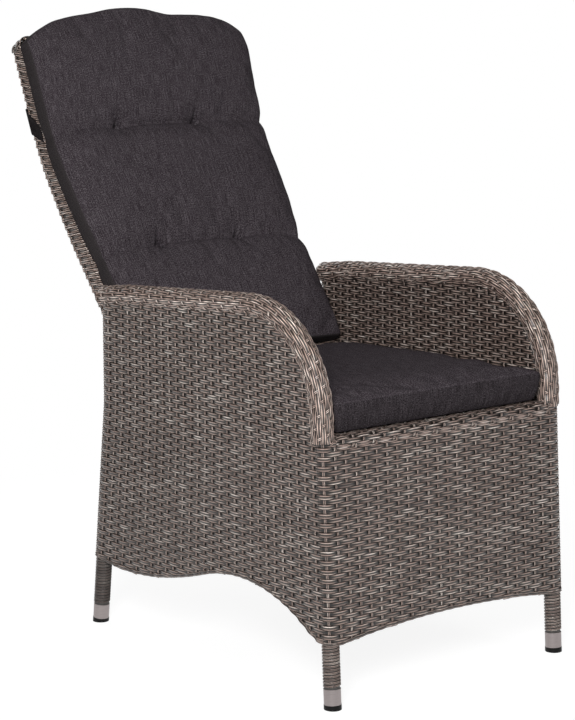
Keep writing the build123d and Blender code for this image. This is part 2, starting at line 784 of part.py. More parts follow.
# Gas spring: its axis runs from the trunnions to the eye
anchor = Vector(0, anchor_y, anchor_z)
eye_centre = Vector(0, pin_place[0] + eye_slack_y, pin_place[1] + eye_slack_z)
spring_length = (eye_centre - anchor).length
spring_plane = Plane(origin=anchor, x_dir=(1, 0, 0), z_dir=eye_centre - anchor)
head_plane = spring_plane.offset(-head_front)
cross_plane = Plane(origin=anchor, x_dir=spring_plane.z_dir, z_dir=(1, 0, 0))

with BuildPart() as release_head:
    with BuildSketch(head_plane):
        Rectangle(head_width, head_height)
    extrude(amount=head_front + head_back)
    with BuildSketch(cross_plane):
        Circle(trunnion_d / 2)
    extrude(amount=trunnion_half, both=True)
    with BuildSketch(head_plane):
        Circle(release_pin_d / 2 + run_gap)
    extrude(amount=head_front + release_bore, mode=Mode.SUBTRACT)
keep(release_head.part, "release_head")

cylinder_bore_r = cylinder_d / 2 - cylinder_wall
with BuildPart() as spring_rod:
    with BuildSketch(spring_plane.offset(head_back)):
        Circle(rod_d / 2)
    extrude(amount=piston_place - head_back)
    with BuildSketch(spring_plane.offset(piston_place)):
        Circle(cylinder_bore_r - run_gap)
    extrude(amount=piston_t)
keep(spring_rod.part, "spring_rod")

cylinder_end = spring_length - eye_outer_d / 2 - eye_neck
with BuildPart() as spring_cylinder:
    with BuildSketch(spring_plane.offset(cylinder_start)):
        Circle(cylinder_d / 2)
    extrude(amount=cylinder_end - cylinder_start)
    with BuildSketch(spring_plane.offset(cylinder_start + guide_t)):
        Circle(cylinder_bore_r)
    extrude(amount=cylinder_end - cylinder_end_t - cylinder_start - guide_t, mode=Mode.SUBTRACT)
    with BuildSketch(spring_plane.offset(cylinder_start)):
        Circle(rod_d / 2 + run_gap)
    extrude(amount=guide_t, mode=Mode.SUBTRACT)
keep(spring_cylinder.part, "spring_cylinder")

with BuildPart() as spring_eye:
    with BuildSketch(spring_plane.offset(cylinder_end)):
        Circle(eye_neck_d / 2)
    extrude(amount=spring_length - cylinder_end)
    with BuildSketch(Plane.YZ):
        with Locations((eye_centre.Y, eye_centre.Z)):
            Circle(eye_outer_d / 2)
    extrude(amount=eye_t / 2, both=True)
    with BuildSketch(Plane.YZ):
        with Locations((eye_centre.Y, eye_centre.Z)):
            Circle(lever_pin_d / 2 + eye_clearance)
    extrude(amount=eye_t, both=True, mode=Mode.SUBTRACT)
keep(spring_eye.part, "spring_eye")

# Lugs that carry the trunnions under the spring bar
with BuildPart() as spring_lugs:
    with BuildSketch(Plane.YZ.offset(head_width / 2 + lug_gap)):
        with Locations((anchor_y, anchor_z)):
            Circle(lug_tip_r)
        with Locations((spring_bar_y, spring_bar_z - saddle_drop)):
            Circle(lug_top_r)
        make_hull()
        with Locations((anchor_y, anchor_z)):
            Circle(trunnion_d / 2 + run_gap, mode=Mode.SUBTRACT)
        with Locations((spring_bar_y, spring_bar_z)):
            Circle(bar_r + weld_gap, mode=Mode.SUBTRACT)
    extrude(amount=lug_t)
    mirror(about=Plane.YZ)
keep(spring_lugs.part, "spring_lugs")

# Release pin in the head
with BuildPart() as release_pin:
    with BuildSketch(spring_plane.offset(-head_front - release_pin_out)):
        Circle(release_pin_d / 2)
    extrude(amount=head_front + release_pin_out + release_pin_inside)
keep(release_pin.part, "release_pin")

# Release shaft with its flat bar, up beside the cushion on the sitter's right
shaft_y = anchor_y - shaft_ahead
shaft_z = anchor_z - shaft_drop
with BuildPart() as release_shaft:
    with BuildSketch(Plane.YZ.offset(shaft_inner_x)):
        with Locations((shaft_y, shaft_z)):
            Circle(shaft_d / 2)
    extrude(amount=-(shaft_inner_x + bar_outer_x - bar_t / 2))
    with BuildSketch(Plane.YZ.offset(-bar_outer_x)):
        with Locations((shaft_y, (shaft_z + bar_top_z) / 2)):
            SlotOverall(bar_top_z - shaft_z + bar_width, bar_width, rotation=90)
    extrude(amount=bar_t)
keep(release_shaft.part, "release_shaft")

with BuildPart() as release_grip:
    grip_x = grip_t / 2 - grip_outer_x
    with BuildSketch(Plane.XY.offset(grip_low_z)):
        with Locations((grip_x, shaft_y)):
            RectangleRounded(grip_t, grip_width, grip_round_r)
    extrude(amount=grip_high_z - grip_low_z)
    fillet(release_grip.edges().group_by(Axis.Z)[-1], radius=grip_round_r - weld_gap)
    with BuildSketch(Plane.YZ.offset(-bar_outer_x - fit_gap)):
        with Locations((shaft_y, (grip_low_z - overrun + bar_top_z) / 2)):
            slot_width = bar_width + 2 * fit_gap
            SlotOverall(bar_top_z - grip_low_z + overrun + slot_width, slot_width, rotation=90)
    extrude(amount=bar_t + 2 * fit_gap, mode=Mode.SUBTRACT)
keep(release_grip.part, "release_grip")

pin_tip_y = anchor_y - head_front - release_pin_out
with BuildPart() as release_finger:
    with BuildSketch(Plane.YZ.offset(-finger_t / 2)):
        with Locations((shaft_y, shaft_z)):
            Circle(finger_hub_r)
        finger_y = pin_tip_y - finger_gap - finger_width / 2
        finger_height = anchor_z + finger_rise - shaft_z
        with Locations((finger_y, shaft_z + finger_height / 2)):
            Rectangle(finger_width, finger_height)
        with Locations(((finger_y + shaft_y) / 2, shaft_z + finger_width / 2)):
            Rectangle(finger_y - shaft_y, finger_width)
        with Locations((shaft_y, shaft_z)):
            Circle(shaft_d / 2 + run_gap, mode=Mode.SUBTRACT)
    extrude(amount=finger_t)
keep(release_finger.part, "release_finger")

for bearing_x, label in ((bearing_inner_x, "shaft_bearing_inner"), (bearing_outer_x, "shaft_bearing_outer")):
    with BuildPart() as shaft_bearing:
        with BuildSketch(Plane.YZ.offset(bearing_x)):
            with Locations((shaft_y, shaft_z)):
                Circle(bearing_tip_r)
            with Locations((spring_bar_y, spring_bar_z - saddle_drop)):
                Circle(bearing_top_r)
            make_hull()
            with Locations((shaft_y, shaft_z)):
                Circle(shaft_d / 2 + run_gap, mode=Mode.SUBTRACT)
            with Locations((spring_bar_y, spring_bar_z)):
                Circle(bar_r + weld_gap, mode=Mode.SUBTRACT)
        extrude(amount=bearing_t)
    keep(shaft_bearing.part, label)


def pad_section(plane, half, low, edge_t, crown, bulge):
    """Cushion section: flat underneath, bulged sides and a crowned top."""
    with BuildSketch(plane) as section:
        with BuildLine():
            inner = half - bulge
            Line((-inner, low), (inner, low))
            ThreePointArc((inner, low), (half, low + edge_t / 2), (inner, low + edge_t))
            ThreePointArc((inner, low + edge_t), (0, low + edge_t + crown), (-inner, low + edge_t))
            ThreePointArc((-inner, low + edge_t), (-half, low + edge_t / 2), (-inner, low))
        make_face()
    return section.sketch


# Seat cushion: crowned box, its sides drawn in between the corners
def seat_plane(y):
    """Upright plane across the seat, its local Y square to the deck."""
    origin = deck_plane.from_local_coords((0, y - front_rail_y, 0))
    return Plane(origin=origin, x_dir=(-1, 0, 0), z_dir=deck_plane.y_dir)


seat_length = seat_rear_y - seat_front_y
with BuildPart() as seat_cushion:
    stations = []
    for end_y, inward in ((seat_front_y, 1), (seat_rear_y, -1)):
        for along_share, less_share, crown_share in seat_end_shares:
            y = end_y + inward * along_share * seat_end_round
            less = less_share * seat_end_round
            stations.append((y, seat_half_width - less, seat_cushion_t - less, crown_share * seat_crown))
        y = end_y + inward * seat_middle_share * seat_length
        stations.append((y, seat_half_width - seat_draw_in, seat_cushion_t, seat_crown))
    stations.sort()
    for y, half, edge_t, crown in stations:
        low = cushion_gap + (seat_cushion_t - edge_t) / 2
        add(pad_section(seat_plane(y), half, low, edge_t, crown, seat_edge_bulge))
    loft(ruled=True)
keep(seat_cushion.part, "seat_cushion")

# Back cushion: three crowned sections with sewn creases, a lobed top and four tufts
pad_rear = skin_out + cushion_gap


def pad_stations():
    """Places along the backrest line with half width, edge thickness and crown."""
    low_half, half = pad_low_half_width, pad_half_width
    full = (pad_edge_t, pad_crown)
    crease = (pad_edge_t - pad_crease_depth / 2, pad_crown - pad_crease_depth)
    return [
        (pad_low_s, low_half - pad_crease_draw, *pad_low_tip),
        (pad_low_s + pad_end_round, low_half, *pad_low_swell),
        ((pad_low_s + pad_low_crease_s) / 2, low_half, *full),
        (pad_low_crease_s - pad_crease_half, low_half, *full),
        (pad_low_crease_s, low_half - pad_crease_draw, *crease),
        (pad_low_crease_s + pad_crease_half, low_half, *full),
        ((pad_low_crease_s + pad_high_crease_s) / 2, half, *full),
        (pad_high_crease_s - pad_crease_half, half, *full),
        (pad_high_crease_s, half - pad_crease_draw, *crease),
        (pad_high_crease_s + pad_crease_half, half, *full),
        (pad_corner_s, half, *full),
        (pad_high_s - pad_end_round, half, *pad_top_swell),
        (pad_high_s, half, *pad_top_tip),
    ]


with BuildPart() as back_cushion:
    for s, half, edge_t, crown in pad_stations():
        add(pad_section(back_plane(s), half, pad_rear, edge_t, crown, pad_side_bulge))
    loft(ruled=True)
    with BuildSketch(top_plane.offset(-pad_high_s)) as lobes:
        with BuildLine():
            low_left = (-pad_half_width - overrun, 0)
            corner_left = (-pad_half_width, pad_corner_s)
            side_left = Polyline(low_left, (-pad_half_width - overrun, pad_corner_s), corner_left)
            mid_s = (pad_corner_s + pad_shoulder_s) / 2 + pad_side_bulge
            mid_x = (pad_half_width + pad_shoulder_x) / 2 + pad_side_bulge
            ThreePointArc(corner_left, (-mid_x, mid_s), (-pad_shoulder_x, pad_shoulder_s))
            ThreePointArc(
                (-pad_shoulder_x, pad_shoulder_s),
                (-(pad_shoulder_x + pad_lobe_x) / 2, pad_shoulder_s + pad_side_bulge),
                (-pad_lobe_x, pad_lobe_s),
            )
            ThreePointArc((-pad_lobe_x, pad_lobe_s), (0, pad_high_s), (pad_lobe_x, pad_lobe_s))
            ThreePointArc(
                (pad_lobe_x, pad_lobe_s),
                ((pad_shoulder_x + pad_lobe_x) / 2, pad_shoulder_s + pad_side_bulge),
                (pad_shoulder_x, pad_shoulder_s),
            )
            corner_right = (pad_half_width, pad_corner_s)
            ThreePointArc((pad_shoulder_x, pad_shoulder_s), (mid_x, mid_s), corner_right)
            low_right = (pad_half_width + overrun, 0)
            Polyline(corner_right, (pad_half_width + overrun, pad_corner_s), low_right, low_left)
        make_face()
    extrude(amount=2 * pad_high_s, mode=Mode.INTERSECT)
    for tuft_s in (pad_low_crease_s, pad_high_crease_s):
        face_out = pad_rear + tuft_seat
        tuft_y, tuft_z = back_point(tuft_s, face_out + tuft_sphere_r - tuft_depth)
        with Locations((-tuft_x, tuft_y, tuft_z), (tuft_x, tuft_y, tuft_z)):
            Sphere(tuft_sphere_r, mode=Mode.SUBTRACT)
keep(back_cushion.part, "back_cushion")

# Elastic strap round the sides and back of the backrest, up to the back cushion's seam
with BuildPart() as back_strap:
    strap_half = back_half_width + strap_gap + strap_t
    strap_out = skin_out + strap_gap + strap_t
    with BuildSketch(back_plane(strap_low_s)):
        with Locations((0, back_half_width - strap_out)):
            strap_corner = back_edge_corner + strap_gap + strap_t
            RectangleRounded(2 * strap_half, 2 * back_half_width, strap_corner)
            strap_inner = (2 * (strap_half - strap_t), 2 * (back_half_width - strap_t))
            RectangleRounded(*strap_inner, strap_corner - strap_t, mode=Mode.SUBTRACT)
        with Locations((0, pad_rear - strap_end_gap + back_half_width)):
            Rectangle(2 * strap_half, 2 * back_half_width, mode=Mode.SUBTRACT)
    extrude(amount=strap_width)
keep(back_strap.part, "back_strap")
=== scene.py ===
"""Dressed model of a reclining wicker armchair: woven strips, cushions, fittings and a plain studio."""

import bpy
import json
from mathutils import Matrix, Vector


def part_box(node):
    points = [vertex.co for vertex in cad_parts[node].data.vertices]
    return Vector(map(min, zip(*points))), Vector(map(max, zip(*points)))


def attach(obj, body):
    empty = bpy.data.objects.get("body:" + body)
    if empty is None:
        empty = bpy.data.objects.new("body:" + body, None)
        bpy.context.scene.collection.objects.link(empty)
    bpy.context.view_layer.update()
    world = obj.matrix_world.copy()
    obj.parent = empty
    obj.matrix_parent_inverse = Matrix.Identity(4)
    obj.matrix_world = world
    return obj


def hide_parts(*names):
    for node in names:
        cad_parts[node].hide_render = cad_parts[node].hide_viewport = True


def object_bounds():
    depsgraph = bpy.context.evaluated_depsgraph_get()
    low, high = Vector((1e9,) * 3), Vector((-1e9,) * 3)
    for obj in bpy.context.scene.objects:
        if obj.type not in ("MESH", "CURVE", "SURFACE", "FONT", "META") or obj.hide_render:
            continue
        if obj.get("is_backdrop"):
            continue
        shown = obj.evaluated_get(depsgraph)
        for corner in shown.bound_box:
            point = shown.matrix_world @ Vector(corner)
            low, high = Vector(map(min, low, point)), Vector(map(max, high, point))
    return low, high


bl_info = {
    "name": "Reclining Wicker Armchair",
    "version": (1, 0, 0),
    "blender": (4, 5, 0),
    "location": "View3D > Sidebar > Armchair",
    "description": "Dresses the packed armchair with woven strips, cushions and finishes",
    "category": "Object",
}

import json
import math

import bpy
import numpy as np

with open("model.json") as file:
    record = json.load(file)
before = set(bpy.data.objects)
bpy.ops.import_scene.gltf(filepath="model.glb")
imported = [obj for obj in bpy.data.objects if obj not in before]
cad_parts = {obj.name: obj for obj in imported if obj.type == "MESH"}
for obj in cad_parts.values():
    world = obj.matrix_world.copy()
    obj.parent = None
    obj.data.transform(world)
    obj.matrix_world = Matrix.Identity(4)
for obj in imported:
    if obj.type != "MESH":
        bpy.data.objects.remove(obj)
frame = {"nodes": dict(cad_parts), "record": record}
cad_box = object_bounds()

# Places and sizes in millimetres, most of them shared with the solids; angles are in radians
MM = 0.001
LEG_X = 250.0
FRONT_FOOT_Y = -464.83
FRONT_SLOPE = math.tan(math.radians(3.4))
REAR_FOOT_Y = 183.17
REAR_KNEE_Y = 136.17
REAR_KNEE_Z = 410.0
REAR_SLOPE = (REAR_FOOT_Y - REAR_KNEE_Y) / REAR_KNEE_Z
KNEE_HALF = 9.0
ARM_CROWN = (-238.83, 627.0)
ARM_FALL = math.tan(math.radians(4.0))
ARM_CORNER_RADIUS = 168.0
ARM_MID_Y = 78.17
ARM_MID_RADIUS = 500.0
ARM_END_Y = 157.6
ARM_END_FALL = 10.0 / 76.5
ROLL_R = 19.2
ROLL_X = LEG_X + 1.6
SKIN_R = 14.4
SEAT_TOP_Z = 438.0
FRONT_RAIL_Z = SEAT_TOP_Z - 15.7
SEAT_FALL = math.tan(math.radians(1.87))
ROLL_LOW_Z = SEAT_TOP_Z - 11.0
ROLL_INSET = 2.1
RAIL_HALF = 236.5
DECK_DROP = 2.0
ARM_HIGH_Z = 640.0
SKIRT_LOW_Z = 90.0
REAR_APRON_UP = 25.0
WRAP_LOW = 36.5
PIVOT = (86.67, 434.0)
LEAN_LOW = math.radians(36.9)
LEAN_HIGH = math.radians(23.5)
BACK_STRAIGHT = 432.0
BACK_BEND_RADIUS = 420.0
BACK_BEND = BACK_BEND_RADIUS * (LEAN_LOW - LEAN_HIGH)
HOOP_X = 212.8
BACK_TOP_S = 710.0
BACK_CORNER = 19.0
EDGE_CORNER = 1.5
EDGE_SLANT = 0.55
REAR_SWELL, REAR_SWELL_S, REAR_SWELL_REACH = 7.5, 330.0, 130.0
BACK_R = 15.9
CREST = math.radians(8.0)
CREST_SHARE = 0.88
BACK_LOW_S = 22.0
PAD_REAR = 16.0
CREASES = (259.0, 517.0)
TUFTS = ((-97.0, 82.0), (-86.0, 92.0))
V_SEAMS = (-0.4, 0.3)
ACROSS = (1, 0, 0)
SIDE_WORDS = ((1, "left"), (-1, "right"))

# Stake counts: pitches across the front, round a corner, along a side and round a rear leg
FRONT_HALF = 11.5
CORNER_END = 12.5
SIDE = 29
REAR_START = CORNER_END + SIDE
RING_END = REAR_START + 2 + SIDE
BACK_HALF = 10
BACK_EDGE = 2
STAKE_PITCH = LEG_X / FRONT_HALF
EDGE_STAKE = 0.62

# How the strips lie: rows and ties of the arm rolls, borders, and room left at edges and under the rolls
ROLL_ROWS = 15
TIE_PITCH = 18.0
STREAK_RUN = 900.0
ROW_UNEVEN = 0.6
FLAT_TOPS = 0.6
BORDER_WIDTH, BORDER_THICK = 7.4, 3.6
BORDER_UP = 2.8
# Rise of border strips: low, so that the material's painted shade darkens them
BORDER_RISE = 0.45
EDGE_PROBE_Z = 120.0
EDGE_ROOM = 2.0
# Painted highlight given to strips round the backrest's edges and along its top
EDGE_PAINTED_HIGHLIGHT = 0.45
ROLL_OVERLAP = 1.5

# How stiff the cushions' cloth is in its simulation
CLOTH_SETTINGS = {
    "quality": 6,
    "mass": 0.3,
    "use_pressure": True,
    "vertex_group_mass": "held",
    "tension_stiffness": 12,
    "compression_stiffness": 8,
    "shear_stiffness": 4,
    "bending_stiffness": 0.6,
    "shrink_min": -0.02,
}


def unit(vectors):
    """Vectors scaled to length one."""
    return vectors / np.linalg.norm(vectors, axis=-1, keepdims=True)


def leg_y(z):
    """Middle of the front leg at a height."""
    return FRONT_FOOT_Y + z * FRONT_SLOPE


def rear_y(z):
    """Middle of the rear leg at a height: a slope below the knee, upright above, blended by a parabola."""
    below = REAR_KNEE_Z - z
    bent = (below + KNEE_HALF) ** 2 / (4 * KNEE_HALF)
    return REAR_KNEE_Y + REAR_SLOPE * np.where(np.abs(below) > KNEE_HALF, np.maximum(below, 0), bent)


def back_point(s, out):
    """Place in YZ at a distance s up the backrest line, moved out of its front: straight, arc, straight."""
    lean = LEAN_LOW - np.clip(s - BACK_STRAIGHT, 0, BACK_BEND) / BACK_BEND_RADIUS
    low = np.minimum(s, BACK_STRAIGHT)
    high = np.maximum(s - BACK_STRAIGHT - BACK_BEND, 0)
    y = PIVOT[0] + low * math.sin(LEAN_LOW) + BACK_BEND_RADIUS * (np.cos(lean) - math.cos(LEAN_LOW))
    z = PIVOT[1] + low * math.cos(LEAN_LOW) + BACK_BEND_RADIUS * (math.sin(LEAN_LOW) - np.sin(lean))
    y = y + high * math.sin(LEAN_HIGH) - out * np.cos(lean)
    z = z + high * math.cos(LEAN_HIGH) + out * np.sin(lean)
    return y, z


def fillet_path(corners, radii, step=3.0):
    """Even points along straight runs joined by arcs that touch both runs."""
    corners = np.asarray(corners, float)
    points = [corners[:1]]
    for before, corner, after, radius in zip(corners[:-2], corners[1:-1], corners[2:], radii):
        back, ahead = unit(before - corner), unit(after - corner)
        turn = math.pi - math.acos(float(np.clip(back @ ahead, -1, 1)))
        centre = corner + unit(back + ahead) * radius / math.cos(turn / 2)
        start = corner + back * radius * math.tan(turn / 2) - centre
        end = corner + ahead * radius * math.tan(turn / 2) - centre
        t = np.linspace(0, 1, max(int(radius * turn / step), 2) + 1)[:, None]
        points.append(centre + (np.sin((1 - t) * turn) * start + np.sin(t * turn) * end) / math.sin(turn))
    points = np.concatenate(points + [corners[-1:]])
    lengths = line_lengths(points)
    even = np.linspace(0, lengths[-1], int(lengths[-1] / step) + 1)
    return np.stack([np.interp(even, lengths, column) for column in points.T], axis=1)


def line_lengths(points):
    """Distance of each point along the line through all of them."""
    return np.concatenate([[0], np.cumsum(np.linalg.norm(np.diff(points, axis=0), axis=1))])


def on_path(path, distance):
    """Points at distances along a path, carried on straight past both ends."""
    total = path_length(path)
    points = rows_at(path, distance / total * (len(path) - 1))
    before = np.minimum(distance, 0)[..., None] * unit(path[1] - path[0])
    after = np.maximum(distance - total, 0)[..., None] * unit(path[-1] - path[-2])
    return points + before + after


def path_length(path):
    """Length of a path of even points."""
    return float(np.linalg.norm(path[1] - path[0]) * (len(path) - 1))


def rows_at(table, place):
    """Rows of a table at places between whole row numbers."""
    return np.stack([np.interp(place, np.arange(len(table)), column) for column in table.T], axis=-1)


def carried_frames(path, first_side):
    """Function of a distance along a path that gives the point there, with a side and an up vector,
    each turned no more than the path turns."""
    tangents = unit(np.gradient(path, axis=0))
    sides = [unit(first_side - (first_side @ tangents[0]) * tangents[0])]
    for tangent in tangents[1:]:
        sides.append(unit(sides[-1] - (sides[-1] @ tangent) * tangent))
    frames = np.concatenate([sides, np.cross(tangents, sides)], axis=1)

    def at(distance):
        sides, ups = np.split(rows_at(frames, distance / path_length(path) * (len(path) - 1)), 2, axis=-1)
        return on_path(path, distance), sides, ups

    return at


def arm_path():
    """Middle of the arm tube: up the front leg, round the front corner and back along the arm."""
    corner_z = (ARM_CROWN[1] - ARM_FALL * (FRONT_FOOT_Y - ARM_CROWN[0])) / (1 + ARM_FALL * FRONT_SLOPE)
    mid_z = ARM_CROWN[1] - ARM_FALL * (ARM_MID_Y - ARM_CROWN[0])
    end_z = mid_z - (ARM_END_Y - ARM_MID_Y) * ARM_END_FALL
    y = leg_y(ROLL_LOW_Z), leg_y(corner_z), ARM_MID_Y, ARM_END_Y
    corners = np.stack([np.zeros(4), y, (ROLL_LOW_Z, corner_z, mid_z, end_z)], axis=1)
    return fillet_path(corners, (ARM_CORNER_RADIUS, ARM_MID_RADIUS))


def back_outline():
    """Upper edge of the backrest as (x, distance up): up one side, round a corner, the crest and down."""
    wide = HOOP_X + BACK_R
    start, crest = BACK_TOP_S - BACK_CORNER + 1, BACK_TOP_S + wide * math.tan(CREST)
    corners = [(wide, start), (wide, BACK_TOP_S), (0, crest), (-wide, BACK_TOP_S), (-wide, start)]
    return fillet_path(corners, (BACK_CORNER, wide * CREST_SHARE / math.tan(CREST), BACK_CORNER))


def round_circle(centre, radius, angles):
    """Points of a circle at some angles."""
    return centre + radius * np.stack([np.cos(angles), np.sin(angles)], axis=-1)


def circle_arc(a, b, c, count=24):
    """Points on the circle through three points, from the first to the last."""
    a, b, c = (np.asarray(p, float) for p in (a, b, c))
    centre = np.linalg.solve(2 * np.array([b - a, c - a]), [b @ b - a @ a, c @ c - a @ a])
    start, _, end = np.unwrap([math.atan2(*(p - centre)[::-1]) for p in (a, b, c)])
    return round_circle(centre, np.linalg.norm(a - centre), np.linspace(start, end, count))


def tangent_arc(points, end, count=16):
    """Arc that goes on smoothly from the last of some points to an end."""
    tangent = unit(points[-1] - points[-2])
    normal = np.array([-tangent[1], tangent[0]])
    chord = np.asarray(end, float) - points[-1]
    radius = chord @ chord / (2 * (chord @ normal))
    sweep = 2 * math.atan2(chord @ normal, chord @ tangent)
    angles = math.atan2(*(-normal * radius)[::-1]) + np.linspace(0, sweep, count)
    return round_circle(points[-1] + normal * radius, abs(radius), angles)


def side_edge():
    """Scalloped lower edge of the side in YZ: a lobe behind and an arch in front, as touching arcs."""
    lobe = circle_arc((REAR_FOOT_Y + 30, 131), (64.67, 117), (-41.33, 130))
    rise = tangent_arc(lobe, (-143.33, 157))
    arch = tangent_arc(rise, (-344.33, 157))
    fall = tangent_arc(arch, (-420.33, 120))
    foot = np.array([(-445.0, 108.0), (-500.0, 106.5)])
    points = np.concatenate([lobe, rise[1:], arch[1:], fall[1:], foot])
    return points[np.argsort(points[:, 0])]


def apron_edge():
    """Arched lower edge of the front apron in XZ, mirrored about the middle."""
    middle = circle_arc((-130, 117), (0, 121.5), (130, 117))
    end = tangent_arc(middle, (234.3, 106))
    right = np.concatenate([middle[middle[:, 0] >= 0], end[1:], [(300.0, 106.0)]])
    return np.concatenate([right[::-1] * (-1, 1), right])


ARM = arm_path()
SIDE_EDGE = side_edge()
BACK_OUTLINE = back_outline()
APRON_EDGE = apron_edge()


def ring(s, z):
    """Woven ring of the base in stake pitches: front, corner, side, half turn behind the leg, inner skin."""
    side, s = np.sign(s), np.abs(s)
    front, rear = leg_y(z), rear_y(z)
    corner = np.clip(s - FRONT_HALF, 0, 1) * math.pi / 2
    turn = np.clip((s - REAR_START) / 2, 0, 1) * math.pi
    share = np.clip(np.where(s < REAR_START, s - CORNER_END, RING_END - s) / SIDE, 0, 1)
    x = np.where(s < FRONT_HALF, STAKE_PITCH * s, LEG_X + SKIN_R * np.sin(corner) * np.cos(turn))
    y = front + share * (rear - front) - SKIN_R * np.cos(corner) + SKIN_R * np.sin(turn)
    return np.stack([side * x, y, z + 0 * s], axis=-1)


def rear_panel(s, z):
    """Skin behind the rear legs, in stake pitches from the middle, counted towards -X."""
    return np.stack([-STAKE_PITCH * s, rear_y(z) + SKIN_R + 0 * s, z + 0 * s], axis=-1)


def deck_panel(s, run):
    """Seat deck: rows across, counted back from the front rail."""
    z = SEAT_TOP_Z - DECK_DROP - run * SEAT_FALL
    return np.stack([STAKE_PITCH * s, leg_y(FRONT_RAIL_Z) + run + 0 * s, z + 0 * s], axis=-1)


def top_panel(s, h):
    """Narrow face along the backrest's upper edge: s counts ties along it, h runs towards the rear."""
    x, high = np.moveaxis(on_path(BACK_OUTLINE, s * STAKE_PITCH), -1, 0)
    y, z = back_point(high, -np.asarray(h, float))
    return np.stack([x, y, z], axis=-1)


def back_top(x):
    """Distance up the backrest of its upper edge at a place across."""
    half = BACK_OUTLINE[: len(BACK_OUTLINE) // 2]
    half = half[np.argsort(half[:, 0])]
    return np.interp(np.abs(x), half[:, 0], half[:, 1])


def square_edge(share):
    """Round a flat edge, from the front to the rear: distances sideways and out of the front.
    The stake in the middle of the share lies near the rear corner."""
    t = np.linspace(0, math.pi / 2, 9)
    deep, wide = SKIN_R - EDGE_CORNER, BACK_R - EDGE_CORNER
    one, two = EDGE_CORNER * np.sin(t), EDGE_CORNER * np.cos(t)
    side = np.concatenate([[0], wide + one, wide + two, [0]])
    out = np.concatenate([[SKIN_R], deep + two, -deep - one, [-SKIN_R]])
    run = line_lengths(np.stack([side, out], axis=1))
    place = np.interp(share, (0, 0.5, 1), (0, EDGE_STAKE * run[-1], run[-1]))
    return np.interp(place, run, side), np.interp(place, run, out)


def back_ring(s, high):
    """Backrest cover as a closed ring: front, round one edge, rear, round the other edge."""
    whole = 4 * BACK_HALF + 2 * BACK_EDGE
    s = np.mod(s + BACK_HALF, whole)
    front = np.clip(s, 0, 2 * BACK_HALF)
    first = np.clip((s - 2 * BACK_HALF) / BACK_EDGE, 0, 1)
    rear = np.clip(s - 2 * BACK_HALF - BACK_EDGE, 0, 2 * BACK_HALF)
    second = np.clip((s - 4 * BACK_HALF - BACK_EDGE) / BACK_EDGE, 0, 1)
    one_x, one_out = square_edge(first)
    two_x, two_out = square_edge(1 - second)
    x = HOOP_X * (front - rear - BACK_HALF) / BACK_HALF + one_x - two_x
    out = np.where(second > 0, two_out, one_out)
    swell = REAR_SWELL * bell(high - REAR_SWELL_S, REAR_SWELL_REACH) * (SKIN_R - out) / (2 * SKIN_R)
    y, z = back_point(high - EDGE_SLANT * (out + SKIN_R), out - swell)
    return np.stack([x, y, z], axis=-1)


def roll_surface(path, centre_x, radius, pitch, lean, first_side):
    """Tube round a path: s counts cross ties along it, h runs round it, and the ties lean along the path."""
    frames = carried_frames(path, first_side)

    def surface(s, h):
        centre, side, up = frames(s * pitch + lean * (h - radius * math.pi / 2))
        angle = -np.asarray(h)[..., None] / radius
        return centre + (centre_x, 0, 0) + radius * (np.cos(angle) * side + np.sin(angle) * up)

    return surface


def frames_on(surface, s, h, s_step=0.02, h_step=0.4):
    """Points of a surface with unit vectors along s, across towards h, and out of the face,
    and how far apart rows one millimetre of h apart lie, measured square to them."""
    s, h = np.broadcast_arrays(np.asarray(s, float), np.asarray(h, float))
    along = unit(surface(s + s_step, h) - surface(s - s_step, h))
    across = surface(s, h + h_step) - surface(s, h - h_step)
    across = across - (across * along).sum(-1, keepdims=True) * along
    spread = np.linalg.norm(across, axis=-1) / (2 * h_step)
    across = unit(across)
    return surface(s, h), along, across, np.cross(along, across), spread


# Traits of a row by its number: place, run of its streaks and tone; panels that share a row share them
ROW_TRAITS = np.random.default_rng(7).uniform(size=(256, 3))

# Section of an extruded strip, as shares of its half width and its thickness: two ridges and a groove
STRIP_SECTION = np.array([(-1.0, -0.15), (-0.5, 0.5), (0.0, -0.1), (0.5, 0.5), (1.0, -0.15), (0.0, -0.5)])


